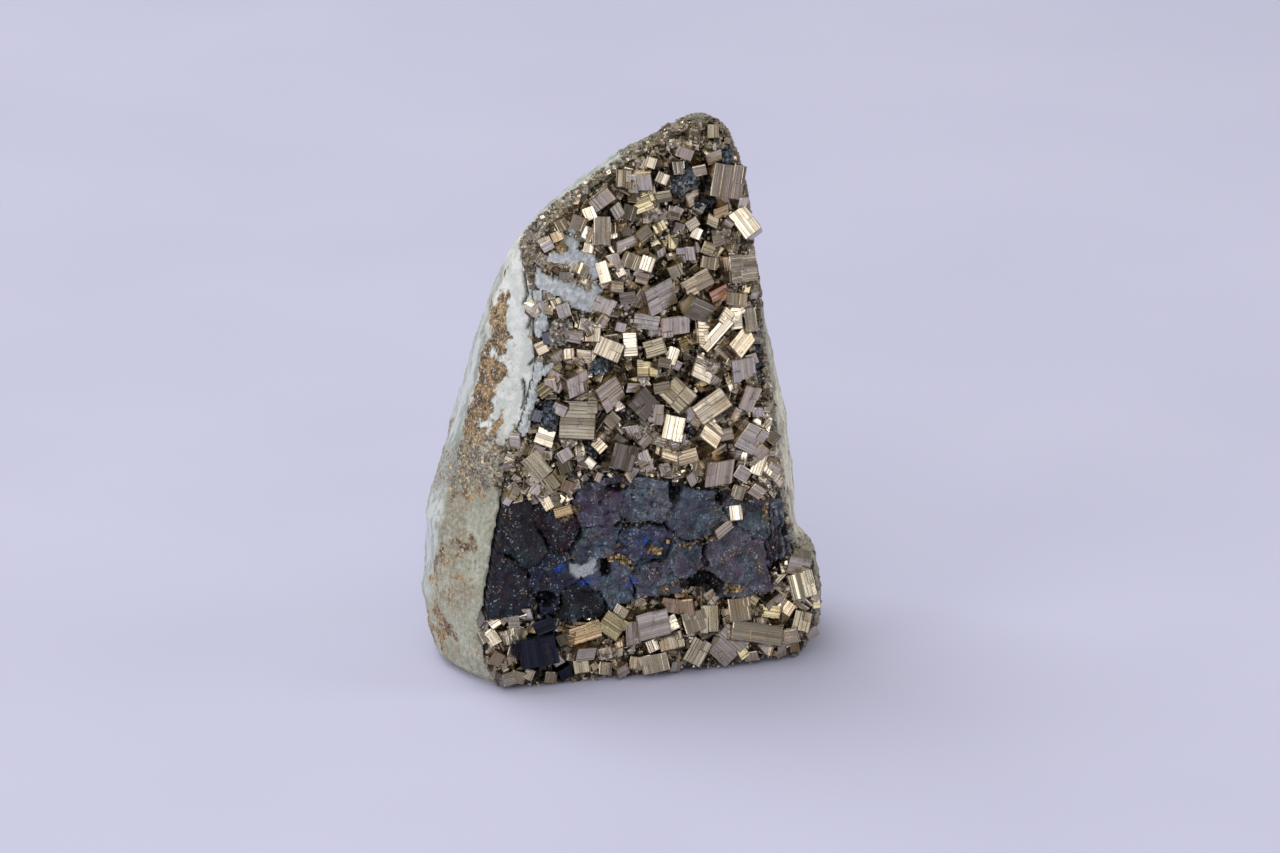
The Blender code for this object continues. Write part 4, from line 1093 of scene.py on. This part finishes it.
def rock_look():
    """Host rock: grey-green stone under a pale clay coat, a speckled rust zone and glossier rims, painted
    paler as their highlight.
    """
    look = Look("host_rock")
    place = look.place()
    skin = look.parts(look.attribute("skin").outputs["Color"])
    extra = look.parts(look.attribute("extra").outputs["Color"])
    broad = look.noise(place, 0.25, 4.0)
    grit = look.noise(place, 3.2, 5.0, 0.75)
    dots = look.noise(place, 5.0, 4.0, 0.8)
    color = look.mix(look.span(broad, 0.35, 0.65), (0.16, 0.18, 0.13), (0.30, 0.31, 0.25))
    color = look.mix(look.span(grit, 0.45, 0.65, 0.0, 0.7), color, (0.40, 0.42, 0.34))
    greenish = look.mix(look.span(grit, 0.38, 0.6), (0.66, 0.65, 0.50), (0.94, 0.92, 0.82))
    veins = look.span(look.noise(look.place((0.6, 0.6, 0.12)), 2.4, 4.0), 0.50, 0.58)
    greenish = look.mix(look.both(veins, 0.45), greenish, (0.40, 0.40, 0.22))
    color = look.mix(extra[1], color, greenish)
    # Painted highlight: on the rim, along the left edge and the crest, the stone is painted pale blue-grey as
    # the highlight of its gloss, and patches on the back get the same colour; the lower roughness set further
    # down is real gloss.
    rim = look.mix(look.span(grit, 0.3, 0.7), (0.55, 0.60, 0.59), (0.70, 0.73, 0.73))
    rim = look.mix(look.both(veins, 0.6), rim, (0.20, 0.27, 0.22))
    blotches = look.span(look.noise(place, 0.3, 6.0, 0.65), 0.50, 0.60, 0.0, 0.6)
    brown = look.mix(look.span(grit, 0.4, 0.6), (0.20, 0.16, 0.10), (0.38, 0.33, 0.24))
    color = look.mix(blotches, color, brown)
    color = look.mix(skin[2], color, rim)
    clay = look.mix(look.span(look.noise(place, 0.8, 4.0), 0.4, 0.6), (0.62, 0.67, 0.63), (0.82, 0.84, 0.81))
    clay = look.mix(look.span(dots, 0.60, 0.70, 0.0, 0.6), clay, (0.88, 0.90, 0.87))
    clay = look.mix(look.span(dots, 0.41, 0.34, 0.0, 0.7), clay, (0.18, 0.16, 0.11))
    color = look.mix(skin[1], color, clay)
    cloudy = look.span(look.noise(place, 1.1, 4.0), 0.40, 0.62)
    rusty = look.mix(cloudy, (0.11, 0.07, 0.035), (0.42, 0.27, 0.11))
    rusty = look.mix(look.span(grit, 0.55, 0.62, 0.0, 0.5), rusty, (0.62, 0.48, 0.29))
    rusty = look.mix(look.span(dots, 0.56, 0.62, 0.0, 0.95), rusty, (0.80, 0.80, 0.76))
    rusty = look.mix(look.span(dots, 0.46, 0.38), rusty, (0.05, 0.033, 0.018))
    broken = look.both(look.math("SUBTRACT", look.noise(place, 0.5, 3.0, 0.6), 0.5), 4.5)
    share = look.span(look.math("ADD", skin[0], broken), 0.45, 0.85)
    color = look.mix(share, color, rusty)
    granular = look.mix(look.span(dots, 0.42, 0.6), (0.07, 0.072, 0.065), (0.46, 0.43, 0.36))
    color = look.mix(look.both(extra[0], 0.85), color, granular)
    # Painted shade: the cracks, pressed into the rock, are painted near black.
    color = look.mix(extra[2], color, (0.02, 0.018, 0.014))
    gritty = look.span(look.math("ADD", extra[0], 0.25), 0.3, 0.9)
    shine = look.both(look.span(look.flecks(place, 4.0)[0], 0.90, 0.93), gritty)
    color = look.mix(shine, color, (0.58, 0.48, 0.30))
    roughness = look.math("SUBTRACT", look.span(grit, 0.3, 0.7, 0.60, 0.80), look.both(skin[2], 0.30))
    roughness = look.math("MAXIMUM", look.math("SUBTRACT", roughness, look.both(shine, 0.4)), 0.2)
    normal = look.bump(grit, 0.00007, 0.6)
    normal = look.bump(dots, 0.00003, 0.6, normal)
    return look.finish(Base_Color=color, Roughness=roughness, Metallic=shine, Normal=normal)


def floor_look():
    look = Look("pale_floor")
    soft = look.noise(look.place(), 0.02, 2.0)
    color = look.mix(look.span(soft, 0.3, 0.7), (0.635, 0.65, 0.87), (0.665, 0.68, 0.90))
    return look.finish(Base_Color=color, Roughness=0.85)


# Light and camera


# Lights in metres: towards where, distance, size, radiance, colour, what it is aimed at.
MIDDLE = (0.0, 0.0, 0.02)
LIGHTS = {
    "key": ((-0.35, -0.78, 0.52), 0.40, (0.20, 0.20), 1.9, (1.0, 0.975, 0.945), MIDDLE),
    "top": ((-0.36, 0.40, 0.84), 0.80, (0.58, 0.58), 2.7, (0.99, 0.98, 0.97), (0.03, 0.05, 0.0)),
    "side": ((0.93, -0.25, 0.30), 0.40, (0.18, 0.30), 2.1, (1.0, 0.98, 0.96), MIDDLE),
    "front_strip": ((0.30, -0.93, 0.12), 0.42, (0.05, 0.16), 1.3, (1.0, 0.98, 0.95), MIDDLE),
    "left_strip": ((-0.88, -0.45, 0.20), 0.45, (0.22, 0.30), 2.3, (1.0, 0.99, 0.98), MIDDLE),
}


def soft_light(name, towards, distance, size, radiance, color, aim):
    data = bpy.data.lights.new(name, "AREA")
    data.shape = "RECTANGLE"
    data.size, data.size_y = size
    data.energy = radiance * math.pi * size[0] * size[1]
    data.color = color
    obj = bpy.data.objects.new(name, data)
    bpy.context.scene.collection.objects.link(obj)
    direction = Vector(towards).normalized()
    obj.location = Vector(aim) + direction * distance
    obj.rotation_euler = direction.to_track_quat("Z", "Y").to_euler()


def room_gradient(tree):
    """A dim room: darker low down and to the right, brighter overhead and to the left."""
    coords = tree.nodes.new("ShaderNodeTexCoord")
    parts = tree.nodes.new("ShaderNodeSeparateXYZ")
    tree.links.new(coords.outputs["Generated"], parts.inputs["Vector"])
    blend = tree.nodes.new("ShaderNodeMath")
    blend.operation = "MULTIPLY_ADD"
    blend.inputs[1].default_value = -0.35
    tree.links.new(parts.outputs["X"], blend.inputs[0])
    tree.links.new(parts.outputs["Z"], blend.inputs[2])
    ramp = tree.nodes.new("ShaderNodeValToRGB")
    ramp.color_ramp.elements[0].position = 0.0
    ramp.color_ramp.elements[0].color = (0.17, 0.16, 0.15, 1.0)
    ramp.color_ramp.elements[1].position = 0.9
    ramp.color_ramp.elements[1].color = (0.51, 0.49, 0.46, 1.0)
    tree.links.new(blend.outputs[0], ramp.inputs["Fac"])
    tree.links.new(ramp.outputs["Color"], tree.nodes["Background"].inputs["Color"])


def set_stage():
    scene = bpy.context.scene
    world = bpy.data.worlds.new("room")
    scene.world = world
    world.use_nodes = True
    room_gradient(world.node_tree)
    for name, light in LIGHTS.items():
        soft_light(name, *light)
    mesh = bpy.data.meshes.new("floor")
    signs = ((-1, -1), (1, -1), (1, 1), (-1, 1))
    corners = [(x * FLOOR_EDGE_METRES, y * FLOOR_EDGE_METRES, 0) for x, y in signs]
    mesh.from_pydata(corners, [], [(0, 1, 2, 3)])
    mesh.materials.append(floor_look())
    floor = bpy.data.objects.new("floor", mesh)
    scene.collection.objects.link(floor)
    camera_data = bpy.data.cameras.new("camera")
    camera_data.lens = LENS
    camera_data.sensor_width = SENSOR_WIDTH
    camera_data.clip_start = 0.01
    camera = bpy.data.objects.new("camera", camera_data)
    scene.collection.objects.link(camera)
    turned = Matrix((VIEW_RIGHT, VIEW_UP, TO_CAMERA)).transposed().to_4x4()
    camera.matrix_world = Matrix.Translation(Vector(CAMERA_AT_METRES)) @ turned
    scene.camera = camera
    scene.view_settings.view_transform = "Standard"


def make_rock(grain):
    rock = rock_mesh()
    tree = BVHTree.FromPolygons([v.co / MM for v in rock.vertices], [list(p.vertices) for p in rock.polygons])
    ride_on("rock", rock, rock_look(), "host_rock")
    beside = Pile()
    grains_on_rock(beside, tree, random.Random(31))
    beside.made("rock_grains", grain, "pyrite")


def make_crust(name, outline, rows, seed, fill, fine, pyrite, grain, matrix):
    """A crust: listed and small cubes, fill between them, the ground below and grains in the gaps."""
    dice = random.Random(seed)
    crystals = Pile()
    for row in rows:
        main_crystal(crystals, row, dice)
    for row in small_crystals(outline, rows, seed):
        x, z, width, height, _ = row
        if clay_at(x, z) < 0.3:
            deep = (width + height) / 2
            placed = standing(row, sunk_depth(x, z, deep))
            tone = shade(region_tone(x, z, dice), 0.95)
            striped_box(crystals, placed, (width, deep, height), tone, dice.choice("vh"), dice)
    crystals.made(f"{name}_cubes", pyrite, "pyrite", f"{name}_pyrite_crystals")
    small = Pile()
    fill_crystals(small, outline, rows, dice, fill)
    small.made(f"{name}_small_cubes", pyrite, "pyrite")
    ground = ground_mesh(f"{name}_matrix", outline, CRUST_PITCH, crust_height, crust_tint)
    ride_on(f"{name}_matrix", ground, matrix)
    specks = Pile()
    grains(specks, outline, dice, fine, (0.12, 0.30), [TONES[t] for t in "gbpoclk"], (0.35, 0.95))
    crusted(specks, outline, dice)
    specks.made(f"{name}_grains", grain, "pyrite")


def make_band(outline, pyrite, grain):
    plates = ground_mesh("dark_plates", outline, BAND_PITCH, band_height, band_tint)
    ride_on("dark_plates", plates, band_look(), "dark_sulphide_band")
    dice = random.Random(21)
    cubes = Pile()
    for row in BAND_CRYSTALS:
        main_crystal(cubes, row, dice, companions=False)
    cubes.made("band_cubes", pyrite, "pyrite")
    flakes = Pile()
    seam_grains(flakes, dice)
    grains(flakes, outline, dice, 420, (0.12, 0.32), BAND_GRAIN_TONES, (0.1, 0.7))
    flakes.made("band_flakes", grain, "dark_sulphide")


def make_pieces():
    upper, band, lower = outlines()
    pyrite, grain, matrix = pyrite_look(), grain_look(), matrix_look()
    make_rock(grain)
    make_crust("upper", upper, UPPER_CRYSTALS, 11, 1900, 5200, pyrite, grain, matrix)
    make_crust("lower", lower, LOWER_CRYSTALS, 12, 700, 1500, pyrite, grain, matrix)
    make_band(band, pyrite, grain)


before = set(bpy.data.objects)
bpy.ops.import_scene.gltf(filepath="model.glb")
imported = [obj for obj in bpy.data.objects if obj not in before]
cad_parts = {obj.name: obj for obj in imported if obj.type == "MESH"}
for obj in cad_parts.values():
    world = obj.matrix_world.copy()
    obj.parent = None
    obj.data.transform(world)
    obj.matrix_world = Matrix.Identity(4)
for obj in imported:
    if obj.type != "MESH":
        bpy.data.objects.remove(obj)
CAD_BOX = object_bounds()
# The part of the front that cubes may stand on, from above the foot to the crest.
CRUSTED = side(LEFT, CRUST_TOP, CRUSTED_FROM) + side(RIGHT, CRUSTED_FROM, CRUST_TOP)
set_stage()
make_pieces()
